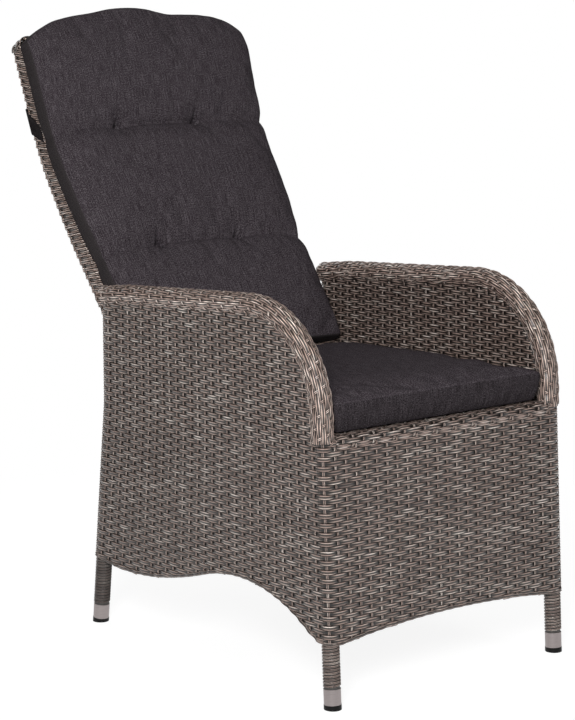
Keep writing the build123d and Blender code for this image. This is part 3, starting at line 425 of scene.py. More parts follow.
class Strips:
    """Gathers strips and turns them into one closed mesh with 'strip' and 'rise' attributes."""

    def __init__(self, seed, wicker):
        self.random = np.random.default_rng(seed)
        self.wicker, self.parts, self.count = wicker, [], 0

    def add(self, centre, across, normal, width, thickness, start=None, tone=None, rise=0.8):
        """One strip, its section square to its middle line at each point; a stake's tone is above one."""
        rings, sides = len(centre), len(STRIP_SECTION)
        wide = np.multiply.outer(np.broadcast_to(width, rings), STRIP_SECTION[:, 0] / 2)
        thick = STRIP_SECTION[:, 1] * thickness
        points = centre[:, None] + across[:, None] * wide[..., None] + normal[:, None] * thick[:, None]
        start = self.random.uniform(0, STREAK_RUN) if start is None else start
        marks = np.zeros((rings, sides, 3))
        marks[..., 0] = (line_lengths(centre) + start)[:, None]
        marks[..., 1] = STRIP_SECTION[:, 0]
        marks[..., 2] = self.random.uniform() if tone is None else tone
        at = self.count + np.arange(rings - 1)[:, None] * sides
        here, after = np.arange(sides), (np.arange(sides) + 1) % sides
        quads = np.stack([at + here, at + after, at + sides + after, at + sides + here], axis=-1)
        caps = np.stack([self.count + here[::-1], self.count + (rings - 1) * sides + here])
        rise = np.repeat(np.broadcast_to(rise, rings), sides)
        self.parts.append((points.reshape(-1, 3), marks.reshape(-1, 3), rise, quads.reshape(-1, 4), caps))
        self.count += rings * sides

    def weave(self, surface, low_s, high_s, heights, keep, steps=5, painted_highlight=lambda s: 0 * s):
        """Plain weave on a surface. A row lies at lift times cos(pi (s + row)), flattened at its tops, so it
        goes over one stake and under the next; a stake lies the other way. A painted highlight is added to
        the rise."""
        wicker = self.wicker
        s = np.linspace(low_s, high_s, int(round((high_s - low_s) * steps)) + 1)
        grid_s, grid_row = np.meshgrid(s, np.arange(len(heights)))
        pitch = heights[1] - heights[0]
        place, run, tone = ROW_TRAITS[np.round(heights / pitch).astype(int) % len(ROW_TRAITS)].T
        grid_h = (heights + ROW_UNEVEN * (place - 0.5))[grid_row]
        points, _, across, normal, spread = frames_on(surface, grid_s, grid_h)
        swing = np.cos(math.pi * (grid_s + grid_row))
        lift = wicker.strip_lift * np.sign(swing) * np.abs(swing) ** FLAT_TOPS
        points = points + normal * lift[..., None]
        for row, part in runs(keep(points, grid_s)):
            shape = points[row, part], across[row, part], normal[row, part]
            start = STREAK_RUN * run[row] + s[part.start] * STAKE_PITCH
            # Rise sets the material's painted shade in the dips and, above one, its painted highlight
            rise = 0.5 + 0.5 * swing[row, part] + painted_highlight(s[part])
            wide = wicker.strip_width * np.minimum(spread[row, part], 1)
            self.add(*shape, wide, wicker.strip_thick, start, tone[row], rise)
        fine = np.arange(heights[0] - pitch / 2, heights[-1] + pitch / 2 + 0.1, pitch / 2)
        stakes = np.arange(math.ceil(low_s), math.floor(high_s) + 1)
        grid_s, grid_h = np.meshgrid(stakes, fine, indexing="ij")
        points, along, _, normal, _ = frames_on(surface, grid_s, grid_h)
        swing = np.cos(math.pi * (grid_s + (grid_h - heights[0]) / pitch))
        points = points - normal * (wicker.stake_lift * swing)[..., None]
        for stake, part in runs(keep(points, grid_s)):
            shape = points[stake, part], -along[stake, part], normal[stake, part]
            rise = 0.5 - 0.5 * swing[stake, part] + painted_highlight(grid_s[stake, part])
            self.add(*shape, wicker.stake_width, wicker.strip_thick, None, 1.0 + self.random.uniform(), rise)

    def border(self, surface, s, h, width, thickness, out=0.0, wave=0.0):
        """Strip that follows a line on a surface, with a small wave at each stake."""
        points, _, _, normal, _ = frames_on(surface, s, h)
        line = unit(np.gradient(points, axis=0))
        points = points + normal * (out + wave * np.cos(2 * math.pi * s))[:, None]
        self.add(points, np.cross(normal, line), normal, width, thickness, rise=BORDER_RISE)

    def skirt_border(self, surface, s, edge, column):
        """Border along a skirt's lower edge, which is given as places along one axis and heights."""
        place = surface(s, EDGE_PROBE_Z + 0 * s)[:, column]
        self.border(surface, s, np.interp(place, *edge.T) + BORDER_UP, BORDER_WIDTH, BORDER_THICK, wave=0.9)

    def winding(self, path, radius, pitch, width, thickness, rise, steps=20):
        """Strip wound on a path: it turns once for each pitch that it moves along."""
        turns = path_length(path) / pitch
        angle = np.linspace(0, 2 * math.pi * turns, int(turns * steps) + 1)
        centre, side, up = carried_frames(path, ACROSS)(angle * pitch / (2 * math.pi))
        normal = np.cos(angle)[:, None] * side + np.sin(angle)[:, None] * up
        centre = centre + normal * radius
        across = unit(np.cross(normal, np.gradient(centre, axis=0)))
        self.add(centre, across, normal, width, thickness, rise=rise)

    def finish(self, name, body, *nodes):
        """Makes the mesh object, out-facing, and sets it on its body in place of its nodes."""
        points, marks, rises, quads, caps = (np.concatenate(arrays) for arrays in zip(*self.parts))
        if inside_out(points, quads):
            quads, caps = quads[:, ::-1], caps[:, ::-1]
        piece = new_piece(name, points, [quads, caps], [strip_material(self.wicker)])
        attributes = piece.data.attributes
        strip = attributes.new("strip", "FLOAT_VECTOR", "POINT")
        strip.data.foreach_set("vector", marks.astype(np.float32).ravel())
        rise = attributes.new("rise", "FLOAT", "POINT")
        rise.data.foreach_set("value", rises.astype(np.float32))
        place_piece(piece, body, "weave", *nodes)


def runs(inside):
    """Line number and stretch of each run of true values that is long enough for a strip."""
    for line, values in enumerate(inside):
        edges = np.flatnonzero(np.diff(np.concatenate([[0], values.astype(int), [0]])))
        yield from ((line, slice(a, b)) for a, b in edges.reshape(-1, 2) if b - a >= 3)


def inside_out(points, quads):
    """True where the faces of a closed form look inwards, by the sign of its volume."""
    a, b, c = (points[quads[:, i]] for i in range(3))
    return (a * np.cross(b, c)).sum() < 0


def new_piece(name, points, blocks, materials, material_index=None, uv=None):
    """Mesh object from points in millimetres and blocks of equal-sided faces."""
    mesh = bpy.data.meshes.new(name)
    totals = np.concatenate([np.full(len(block), block.shape[1]) for block in blocks])
    corners = np.concatenate([block.ravel() for block in blocks])
    mesh.vertices.add(len(points))
    mesh.vertices.foreach_set("co", (points * MM).astype(np.float32).ravel())
    mesh.loops.add(len(corners))
    mesh.loops.foreach_set("vertex_index", corners.astype(np.int32))
    mesh.polygons.add(len(totals))
    mesh.polygons.foreach_set("loop_start", (np.cumsum(totals) - totals).astype(np.int32))
    mesh.polygons.foreach_set("loop_total", totals.astype(np.int32))
    mesh.polygons.foreach_set("use_smooth", np.ones(len(totals), bool))
    if material_index is not None:
        mesh.polygons.foreach_set("material_index", material_index.astype(np.int32))
    mesh.update(calc_edges=True)
    if uv is not None:
        layer = mesh.uv_layers.new(name="cloth")
        layer.data.foreach_set("uv", uv.astype(np.float32).ravel())
    for material in materials:
        mesh.materials.append(material)
    piece = bpy.data.objects.new(name, mesh)
    bpy.context.scene.collection.objects.link(piece)
    return piece


def place_piece(piece, body, slot, *nodes):
    """Sets a finished piece on its body, in place of its CAD nodes."""
    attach(piece, body)
    if nodes:
        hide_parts(*nodes)


def arm_clearance(points):
    """How far points lie outside the woven arm roll, by their distance to its middle line in YZ."""
    flat = points.reshape(-1, 3)
    gaps = np.linalg.norm(flat[:, None, 1:] - ARM[None, ::2, 1:], axis=-1)
    rear_half = ARM[len(ARM) // 2 :]
    below = flat[:, 2] < np.interp(flat[:, 1], rear_half[:, 1], rear_half[:, 2])
    sideways = np.minimum(np.abs(np.abs(flat[:, 0]) - LEG_X), ROLL_R)
    top = ARM[:, 2].argmax()
    leg = np.append([[0, FRONT_FOOT_Y - 1, 0]], ARM[: top + 1], axis=0)
    behind_leg = flat[:, 1] > np.interp(flat[:, 2], leg[:, 2], leg[:, 1]) - 3
    clear = gaps.min(axis=1) - np.sqrt(ROLL_R**2 - sideways**2)
    clear = np.where(flat[:, 2] < ARM[0, 2] + 3, ROLL_R, clear)
    inside = below & (behind_leg | (flat[:, 1] > ARM[top, 1]))
    return np.where(inside, clear, -np.inf).reshape(points.shape[:-1])


def above(points, edge, column):
    """How far points lie above an edge given as places and heights."""
    return points[..., 2] - np.interp(points[..., column], edge[:, 0], edge[:, 1])


# Finishes


def colour(text):
    """Linear colour from an sRGB hex value."""
    values = [int(text[i : i + 2], 16) / 255 for i in (1, 3, 5)]
    return (*[v / 12.92 if v <= 0.04045 else ((v + 0.055) / 1.055) ** 2.4 for v in values], 1.0)


def add(tree, kind, inputs=None, **settings):
    """Adds a node with its settings; inputs are values, or sockets to link from."""
    made = tree.nodes.new(kind)
    for key, value in settings.items():
        setattr(made, key, value)
    for key, value in (inputs or {}).items():
        if isinstance(value, bpy.types.NodeSocket):
            tree.links.new(value, made.inputs[key])
        else:
            made.inputs[key].default_value = value
    return made


def emptied(block):
    """Node tree of a material or world, cleared."""
    block.use_nodes = True
    block.node_tree.nodes.clear()
    return block.node_tree


def finished_material(name, make):
    """Material with a principled shader, whose inputs come from make(tree), or the one made before."""
    material = bpy.data.materials.get(name)
    if not material:
        material = bpy.data.materials.new(name)
        tree = emptied(material)
        shader = add(tree, "ShaderNodeBsdfPrincipled", make(tree))
        add(tree, "ShaderNodeOutputMaterial", {"Surface": shader.outputs["BSDF"]})
    return material


def product(tree, first, *others):
    """Product of values or sockets."""
    for other in others:
        first = math_node(tree, "MULTIPLY", first, other)
    return first


def weighted(tree, first, *others):
    """Sum of sockets, each given with its weight."""
    total = product(tree, *first)
    for other in others:
        total = math_node(tree, "ADD", total, product(tree, *other))
    return total


def map_range(tree, value, *ends):
    """Value carried from one range to another, held at both ends."""
    return add(tree, "ShaderNodeMapRange", {"Value": value, **dict(enumerate(ends, 1))}).outputs[0]


def noise(tree, vector, scale, detail):
    """Noise over a vector that is scaled along each axis."""
    scaled = add(tree, "ShaderNodeVectorMath", {0: vector, 1: scale}, operation="MULTIPLY").outputs[0]
    return add(tree, "ShaderNodeTexNoise", {"Vector": scaled, "Scale": 1.0, "Detail": detail}).outputs["Fac"]


def toned(tree, base, factor):
    """Colour times a factor."""
    inputs = {0: 1.0, 6: base, 7: factor}
    return add(tree, "ShaderNodeMix", inputs, data_type="RGBA", blend_type="MULTIPLY").outputs[2]


def bumped(tree, height, strength, distance):
    """Normals bent by a height."""
    inputs = {"Height": height, "Strength": strength, "Distance": distance}
    return add(tree, "ShaderNodeBump", inputs).outputs[0]


def ramp(tree, factor, stops):
    """Colour ramp from a factor, with stops as (position, hex)."""
    made = add(tree, "ShaderNodeValToRGB", {"Fac": factor})
    elements = made.color_ramp.elements
    while len(elements) < len(stops):
        elements.new(0.5)
    for element, (position, text) in zip(elements, stops):
        element.position = position
        element.color = colour(text)
    return made.outputs["Color"]


def math_node(tree, operation, a, b=0.0):
    """Result of a maths operation on one or two values or sockets."""
    return add(tree, "ShaderNodeMath", {0: a, 1: b}, operation=operation).outputs[0]


def strip_material(wicker):
    """Extruded polyethylene strip, streaked along its length, with two ridges and a groove: painted
    highlights run along the ridges, painted shade lies in the groove, at the edges and in the dips, stakes
    are lighter, and a painted highlight lightens strips that rise high."""

    def make(tree):
        mark = add(tree, "ShaderNodeAttribute", attribute_name="strip").outputs["Vector"]
        rise = add(tree, "ShaderNodeAttribute", attribute_name="rise").outputs["Fac"]
        _, across, kind = add(tree, "ShaderNodeSeparateXYZ", {0: mark}).outputs
        streaks = noise(tree, mark, (0.02, 1.8, 37.0), 3.0)
        patches = noise(tree, mark, (0.006, 0.0, 91.0), 1.0)
        mixed = weighted(tree, (streaks, 0.7), (patches, 0.3))
        base = ramp(tree, mixed, [(0.32, wicker.dark), (0.5, wicker.middle), (0.68, wicker.light)])
        away = math_node(tree, "ABSOLUTE", across)
        ridge = math_node(tree, "ABSOLUTE", math_node(tree, "SUBTRACT", away, 0.52))
        # Painted highlights: thin bright lines along both ridges
        line = map_range(tree, ridge, 0.03, 0.17, 3.2, 0.9)
        # Painted shade in the groove and along the strip's edges
        shade = map_range(tree, ridge, 0.17, 0.42, 1.0, 0.12)
        stake = math_node(tree, "GREATER_THAN", kind, 1.0)
        brighter = math_node(tree, "ADD", product(tree, stake, 0.2), 1.0)
        # Painted shade: strips darken where they dip under their neighbours, and lighten a little where they
        # rise
        painted_dip_shade = map_range(tree, rise, 0.15, 0.8, 0.1, 1.24)
        # Painted highlight: a rise above one, given on rolls and round edges, lightens the strip
        painted_highlight_strength = map_range(tree, rise, 1.0, 2.0, 1.0, 2.6)
        return {
            "Base Color": toned(tree, base, product(tree, shade, line, painted_highlight_strength, brighter, painted_dip_shade)),
            "Roughness": 0.32,
            "Specular IOR Level": 0.7,
            "IOR": 1.5,
            "Normal": bumped(tree, streaks, 0.25, 0.0004),
        }

    return finished_material("extruded_polyethylene_strip", make)


def cloth_material(name, dark, middle, light, slub):
    """Woven polyester with slubs: threads each way, drawn at about 1.1 mm so that they show,
    with longer lighter threads up the cushion."""

    def make(tree):
        place = add(tree, "ShaderNodeUVMap", uv_map="cloth").outputs[0]
        # Scales are per millimetre: threads of about 1.1 mm, 30 mm long upwards and 17 mm long across
        up = noise(tree, place, (0.9, 0.033, 1.0), 2.0)
        across = noise(tree, place, (0.06, 0.8, 1.0), 2.0)
        grain = noise(tree, place, (0.85, 0.42, 1.0), 2.0)
        height = weighted(tree, (up, slub), (across, 0.12), (grain, 0.58))
        half = (slub + 0.7) / 2
        return {
            "Base Color": ramp(tree, height, [(half - 0.11, dark), (half, middle), (half + 0.11, light)]),
            "Roughness": 0.95,
            "Specular IOR Level": 0.04,
            "Normal": bumped(tree, height, 0.5, 0.0006),
        }

    return finished_material(name, make)


def surface_material(name, base, roughness, metallic, grain, depth, spread=0.06, gloss=0.5):
    """Moulded, coated or metal surface: noise at the grain's scale varies its tone, gloss and height."""

    def make(tree):
        spots = noise(tree, add(tree, "ShaderNodeTexCoord").outputs["Object"], grain, 3.0)
        return {
            "Base Color": toned(tree, colour(base), map_range(tree, spots, 0.25, 0.75, 0.86, 1.1)),
            "Roughness": map_range(tree, spots, 0.3, 0.7, roughness - spread, roughness + spread),
            "Metallic": metallic,
            "Specular IOR Level": gloss,
            "Normal": bumped(tree, spots, depth, 0.0005),
        }

    return finished_material(name, make)


def number(name, text, default, low, high):
    """Number that a user may set."""
    return bpy.props.FloatProperty(name=name, description=text, default=default, min=low, max=high)


def shade_of(name, text, default):
    """Colour that a user may set, as sRGB hex."""
    return bpy.props.StringProperty(name=name, description=f"{text}, sRGB hex", default=default)


# Settings that a user would change


class WickerSettings(bpy.types.PropertyGroup):
    """Sizes and colours of the woven strips."""

    row_pitch: number("Row pitch", "Distance between rows in millimetres", 7.5, 4, 20)
    strip_width: number("Strip width", "Width of a row's strip in millimetres", 8.6, 2, 18)
    strip_thick: number("Strip thickness", "Thickness of a strip in millimetres", 2.0, 0.5, 4)
    strip_lift: number("Strip lift", "How far a row rises over a stake, in millimetres", 1.2, 0, 4)
    stake_width: number("Stake width", "Width of an upright stake in millimetres", 4.8, 2, 12)
    stake_lift: number("Stake lift", "How far a stake rises between rows, in millimetres", 0.8, 0, 3)
    dark: shade_of("Dark streak", "Darkest strip colour", "#443a36")
    middle: shade_of("Strip", "Usual strip colour", "#695a53")
    light: shade_of("Light streak", "Lightest strip colour", "#9a938d")


class CushionSettings(bpy.types.PropertyGroup):
    """Filling and colours of the cushions."""

    pressure: number("Pressure", "How hard the filling presses in the cloth simulation", 4.0, 0, 20)
    cap: number("Swell limit", "Farthest that the cloth may move, in metres", 0.014, 0, 0.1)
    cell: number("Cell", "Size of the cloth's cells in millimetres", 8.0, 4, 20)
    face: shade_of("Cloth", "Usual cloth colour", "#413a3f")
    gusset: shade_of("Gusset", "Colour of the side band", "#3c3839")


class StudioSettings(bpy.types.PropertyGroup):
    """Light and floor."""

    key_power: number("Key light", "Power of the main soft light in watts", 93.0, 0, 1000)
    fill_power: number("Fill light", "Power of the second soft light in watts", 15.0, 0, 1000)
    floor: shade_of("Floor", "Colour of the floor", "#d0d0d0")


class ArmchairOperator(bpy.types.Operator):
    """Shared parts of the armchair's operators: each makes its pieces from one group of settings."""

    bl_options = {"REGISTER", "UNDO"}
    group = "armchair_wicker"

    def execute(self, context):
        self.make(getattr(context.scene, self.group))
        return {"FINISHED"}


def row_heights(wicker, low, high):
    """Heights of whole rows between two heights, counted from the floor so that all panels line up;
    the first has an even count, so that neighbouring panels go over the same stakes."""
    first = math.ceil(low / wicker.row_pitch)
    return np.arange(first + first % 2, math.floor(high / wicker.row_pitch) + 1) * wicker.row_pitch


class ARMCHAIR_OT_sides(ArmchairOperator):
    """Weaves the outer and inner skins of both sides, with their scalloped lower border."""

    bl_idname = "armchair.sides"
    bl_label = "Woven sides"

    def make(self, wicker):
        def above_skirt(p, s):
            return (above(p, SIDE_EDGE, 1) > EDGE_ROOM) & (arm_clearance(p) > -ROLL_OVERLAP)

        def above_seat(p, s):
            return (p[..., 2] > SEAT_TOP_Z) & (arm_clearance(p) > -ROLL_OVERLAP)

        turn = REAR_START + 1.0
        outer = 11, "outer", (CORNER_END, turn), SKIRT_LOW_Z, above_skirt
        inner = 21, "inner", (turn, RING_END), SEAT_TOP_Z - 4, above_seat
        for side, word in SIDE_WORDS:
            for seed, skin, ends, low, keep in (outer, inner):
                strips = Strips(seed + side, wicker)
                heights = row_heights(wicker, low, ARM_HIGH_Z)
                strips.weave(ring, *sorted(side * end for end in ends), heights, keep)
                if skin == "outer":
                    strips.skirt_border(ring, side * np.arange(*ends, 0.1), SIDE_EDGE, 1)
                strips.finish(f"side_weave_{skin}_{word}", "base", f"side_weave_{word}")


class ARMCHAIR_OT_aprons(ArmchairOperator):
    """Weaves the front apron round both front legs, and the rear apron."""

    bl_idname = "armchair.aprons"
    bl_label = "Woven aprons"

    def make(self, wicker):
        def keep(points, s):
            top = np.where(np.abs(points[..., 0]) < RAIL_HALF - 0.5, FRONT_RAIL_Z + 3, SEAT_TOP_Z)
            return (above(points, APRON_EDGE, 0) > EDGE_ROOM) & (points[..., 2] < top)

        strips = Strips(31, wicker)
        strips.weave(ring, -CORNER_END, CORNER_END, row_heights(wicker, SKIRT_LOW_Z, SEAT_TOP_Z - 3), keep)
        strips.skirt_border(ring, np.arange(-CORNER_END, CORNER_END + 0.05, 0.1), APRON_EDGE, 0)
        strips.finish("front_apron_weave", "base", "front_apron")

        strips = Strips(41, wicker)
        edge = APRON_EDGE + (0, REAR_APRON_UP)
        heights = row_heights(wicker, SKIRT_LOW_Z + 20, SEAT_TOP_Z - 3)
        strips.weave(rear_panel, -FRONT_HALF, FRONT_HALF, heights, lambda p, s: above(p, edge, 0) > EDGE_ROOM)
        s = np.arange(-FRONT_HALF, FRONT_HALF + 0.05, 0.1)
        strips.skirt_border(rear_panel, s, edge, 0)
        strips.border(rear_panel, s, 0 * s + SEAT_TOP_Z - 2.5, 6.5, BORDER_THICK, wave=0.7)
        strips.finish("rear_apron_weave", "base", "rear_apron")


class ARMCHAIR_OT_rolls(ArmchairOperator):
    """Weaves the rolls along both arms and over the front rail."""

    bl_idname = "armchair.rolls"
    bl_label = "Woven rolls"

    def make(self, wicker):
        radius, length = ROLL_R - ROLL_INSET, path_length(ARM)
        heights = np.arange(ROLL_ROWS) * (2 * math.pi * radius / ROLL_ROWS)

        def on_arm(points, s):
            distance = arm_distance(points)
            return (distance > 0.5) & (distance < length - 0.5)

        for side, word in SIDE_WORDS:
            strips = Strips(51 + side, wicker)
            surface = roll_surface(ARM, side * ROLL_X, radius, TIE_PITCH, 0.45 * side, ACROSS)
            # Painted highlight along the rolls: their strips' rise is lifted so that the material lightens
            # them
            painted_highlight_strength = 0.47
            strips.weave(surface, -3, length / TIE_PITCH + 3, heights, on_arm, 6, lambda s: painted_highlight_strength + 0 * s)
            self.end_disc(strips, ARM[-1] + (side * ROLL_X, 0, 0), unit(ARM[-1] - ARM[-2]))
            strips.finish(f"arm_roll_weave_{word}", "base", f"arm_roll_{word}")

        strips = Strips(61, wicker)
        y = leg_y(FRONT_RAIL_Z)
        path = np.linspace((-RAIL_HALF, y, FRONT_RAIL_Z), (RAIL_HALF, y, FRONT_RAIL_Z), 160)
        surface = roll_surface(path, 0.0, SKIN_R, STAKE_PITCH, 0.35, (0, -1, 0))
        heights = np.arange(-1, 6) * wicker.row_pitch * 0.93
        strips.weave(surface, -2, 25, heights, lambda p, s: np.abs(p[..., 0]) < RAIL_HALF + 0.1, steps=6)
        strips.finish("front_edge_roll_weave", "base", "front_edge_roll")

    def end_disc(self, strips, centre, outward):
        """Flat coil of strip that closes the rear end of a roll."""
        angle = np.linspace(0, 2 * math.pi * 2.6, 90)
        radius = 3.2 + 5.2 * angle / (2 * math.pi)
        spoke = np.outer(np.cos(angle), ACROSS) + np.outer(np.sin(angle), np.cross(outward, ACROSS))
        points = centre + spoke * radius[:, None] - outward * 0.9
        strips.add(points, spoke, np.tile(outward, (len(angle), 1)), 6.0, 1.8)


def arm_distance(points):
    """Distance along the arm path of the path's point nearest to each point, past its ends as well."""
    flat = points.reshape(-1, 3)
    nearest = np.linalg.norm(flat[:, None, 1:] - ARM[None, :, 1:], axis=-1).argmin(axis=1)
    tangents = unit(np.gradient(ARM, axis=0))[nearest]
    rest = ((flat - ARM[nearest])[:, 1:] * tangents[:, 1:]).sum(axis=1)
    return (nearest * np.linalg.norm(ARM[1] - ARM[0]) + rest).reshape(points.shape[:-1])


class ARMCHAIR_OT_leg_wraps(ArmchairOperator):
    """Winds strip round the four legs below the skirts."""

    bl_idname = "armchair.leg_wraps"
    bl_label = "Leg wraps"

    def make(self, wicker):
        # The last number is each wrap's rise: the rear wraps get a lower one, so that painted shade darkens
        # them where the skirt shades them
        front = "front", FRONT_FOOT_Y, FRONT_SLOPE, 112.0, 0.9
        rear = "rear", REAR_FOOT_Y, -REAR_SLOPE, 136.0, 0.44
        for seed, (side, word) in enumerate(SIDE_WORDS):
            for place, foot_y, slope, high, rise in (front, rear):
                strips = Strips(71 + seed, wicker)
                foot, up = np.array([side * LEG_X, foot_y, 0.0]), unit(np.array([0, slope, 1.0]))
                path = np.linspace(foot + up * WRAP_LOW, foot + up * high, 30)
                strips.winding(path, 13.4, 5.3, 3.9, 2.8, rise)
                strips.finish(f"leg_wrap_strip_{place}_{word}", "base", f"leg_wrap_{place}_{word}")


class ARMCHAIR_OT_backrest(ArmchairOperator):
    """Weaves the backrest cover and its upper edge."""

    bl_idname = "armchair.backrest"
    bl_label = "Woven backrest"

    def make(self, wicker):
        heights = BACK_LOW_S + 3.5 + np.arange(0, 100) * wicker.row_pitch
        low, high = BACK_HALF + 1, 3 * BACK_HALF + BACK_EDGE

        def keep(points, s):
            up = back_height(points)
            return (up > BACK_LOW_S + 2) & (up < back_top(points[..., 0]) - 1.5)

        front = Strips(81, wicker)
        front.weave(back_ring, -low, low, heights, keep, painted_highlight=edge_painted_highlight)
        ties = path_length(BACK_OUTLINE) / STAKE_PITCH
        rows = np.array([-10.8, -3.6, 3.6, 10.8])
        # The top panel's strips get the edge's painted highlight
        front.weave(top_panel, 0, ties, rows, lambda p, s: s > -1, 8, lambda s: EDGE_PAINTED_HIGHLIGHT + 0 * s)
        front.finish("back_weave_front", "backrest", "back_weave")

        rear = Strips(91, wicker)
        rear.weave(back_ring, low, high + 1, heights, keep, painted_highlight=edge_painted_highlight)
        s = np.arange(BACK_HALF + BACK_EDGE + 0.1, high, 0.1)
        edge = back_top(back_ring(s, 500.0 + 0 * s)[:, 0]) - 4.0
        rear.border(back_ring, s, edge, BORDER_WIDTH, 2.4, 0.8, 0.6)
        rear.finish("back_weave_rear", "backrest", "back_weave")


def edge_painted_highlight(s):
    """Painted highlight on the backrest's strips where they go round its two edges."""
    half = BACK_HALF + BACK_EDGE / 2
    away = np.minimum(np.abs(np.abs(s) - half), np.abs(s - 2 * BACK_HALF - BACK_EDGE - half))
    return EDGE_PAINTED_HIGHLIGHT * np.clip(2.4 - 2 * away / BACK_EDGE, 0, 1)


def back_height(points):
    """Distance up the backrest line of points near it."""
    s = np.linspace(0, 760, 381)
    y, z = back_point(s, 0)
    flat = points.reshape(-1, 3)
    nearest = np.argmin((flat[:, 1, None] - y) ** 2 + (flat[:, 2, None] - z) ** 2, axis=1)
    return s[nearest].reshape(points.shape[:-1])


class ARMCHAIR_OT_deck(ArmchairOperator):
    """Weaves the seat deck under the cushion."""

    bl_idname = "armchair.deck"
    bl_label = "Woven seat deck"

    def make(self, wicker):
        low, high = (corner[1] / MM - leg_y(FRONT_RAIL_Z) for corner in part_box("seat_deck"))

        def keep(points, s):
            x, y = points[..., 0], points[..., 1]
            notch = (x < -224) & (y > -285) & (y < -240)
            return (np.abs(x) < 230) & ~notch

        strips = Strips(101, wicker)
        strips.weave(deck_panel, -10.6, 10.6, np.arange(low + 4, high - 3, 9.0), keep, steps=4)
        strips.finish("seat_deck_weave", "base", "seat_deck")


def rounded_plan(u, v, half_u, half_v, radius):
    """Square of u and v in -1..1 on a rectangle with round corners: corner squares map to quarter discs."""
    x, y = u * half_u, v * half_v
    over_x = np.clip((np.abs(x) - half_u + radius) / radius, 0, 1)
    over_y = np.clip((np.abs(y) - half_v + radius) / radius, 0, 1)
    both = (over_x > 0) & (over_y > 0)
    round_x = half_u - radius + radius * over_x * np.sqrt(1 - over_y**2 / 2)
    round_y = half_v - radius + radius * over_y * np.sqrt(1 - over_x**2 / 2)
    return np.where(both, np.sign(x) * round_x, x), np.where(both, np.sign(y) * round_y, y)


def shell(name, u_count, v_count, layers, place, flat, materials):
    """Closed form: a face grid, a gusset of some layers round its edge, and a rear grid.
    place(u, v, level) gives points, with level 1 on the face and 0 on the rear; flat(u, v) gives cloth UVs.
    Returns the piece, the face's v values and the numbers of its rim points."""
    u, v = np.meshgrid(np.linspace(-1, 1, u_count), np.linspace(-1, 1, v_count), indexing="ij")
    index = np.arange(u.size).reshape(u.shape)
    rim = np.concatenate([index[:, 0], index[-1, 1:], index[-2::-1, -1], index[0, -2:0:-1]])
    u, v, total, round_rim = u.ravel(), v.ravel(), u.size, np.arange(len(rim))
    face, rear = place(u, v, 1.0), place(u, v, 0.0)
    rings = [place(u[rim], v[rim], 1 - layer / layers) for layer in range(1, layers)]
    points = np.concatenate([face, rear, *rings])
    grid = np.stack([index[:-1, :-1], index[1:, :-1], index[1:, 1:], index[:-1, 1:]], axis=-1).reshape(-1, 4)
    loops = [rim, *(2 * total + i * len(rim) + round_rim for i in range(layers - 1)), rim + total]
    length = line_lengths(face[np.append(rim, rim[0])])
    tall = np.linalg.norm(face[rim] - rear[rim], axis=1).mean()
    gusset, uv = [], [flat(u, v)[grid], flat(u, v)[grid[:, ::-1]]]
    for level, (one, other) in enumerate(zip(loops[:-1], loops[1:])):
        gusset.append(np.stack([one, other, np.roll(other, -1), np.roll(one, -1)], axis=-1))
        high, low = tall * (1 - level / layers), tall * (1 - (level + 1) / layers)
        corners = ((length[:-1], high), (length[:-1], low), (length[1:], low), (length[1:], high))
        uv.append(np.stack([np.stack([x, y + 0 * x], axis=-1) for x, y in corners], axis=1))
    quads, uv = np.concatenate([grid, grid[:, ::-1] + total, *gusset]), np.concatenate(uv)
    mark = np.where(np.arange(len(quads)) < 2 * len(grid), 0, len(materials) - 1)
    if inside_out(points, quads):
        quads, uv = quads[:, ::-1], uv[:, ::-1]
    return new_piece(name, points, [quads], materials, mark, uv), v, rim


def read_points(mesh):
    """Points of a mesh as an array, in metres."""
    points = np.zeros(len(mesh.vertices) * 3, np.float32)
    mesh.vertices.foreach_get("co", points)
    return points.reshape(-1, 3)


def write_points(mesh, points):
    """Moves the points of a mesh, in metres."""
    mesh.vertices.foreach_set("co", points.astype(np.float32).ravel())
    mesh.update()


def inflate(piece, held, cushions, swell, frames=20):
    """Cloth under pressure, with some points held by weight; a point moves no farther than the limit."""
    before = read_points(piece.data)
    group = piece.vertex_groups.new(name="held")
    for weight in np.unique(held[held > 0]):
        group.add(np.flatnonzero(held == weight).tolist(), float(weight), "REPLACE")
    cloth = piece.modifiers.new("filling", "CLOTH")
    for key, value in CLOTH_SETTINGS.items():
        setattr(cloth.settings, key, value)
    cloth.settings.uniform_pressure_force = cushions.pressure * swell
    cloth.settings.effector_weights.gravity = 0.0
    cloth.point_cache.frame_start, cloth.point_cache.frame_end = 1, frames
    for frame_number in range(1, frames + 1):
        bpy.context.scene.frame_set(frame_number)
    after = read_points(piece.evaluated_get(bpy.context.evaluated_depsgraph_get()).to_mesh())
    piece.modifiers.remove(cloth)
    piece.vertex_groups.remove(group)
    bpy.context.scene.frame_set(1)
    shift = after - before
    size = np.linalg.norm(shift, axis=1, keepdims=True)
    share = np.where(size > 0, cushions.cap * np.tanh(size / cushions.cap) / np.maximum(size, 1e-9), 0)
    write_points(piece.data, before + shift * share)


def subdivided(piece):
    """Replaces a piece's mesh by itself subdivided once and smoothed; returns its points in millimetres."""
    smooth = piece.modifiers.new("smooth", "SUBSURF")
    smooth.levels = smooth.render_levels = 1
    mesh = bpy.data.meshes.new_from_object(piece.evaluated_get(bpy.context.evaluated_depsgraph_get()))
    piece.modifiers.remove(smooth)
    coarse, piece.data = piece.data, mesh
    bpy.data.meshes.remove(coarse)
    return read_points(mesh).astype(float) / MM


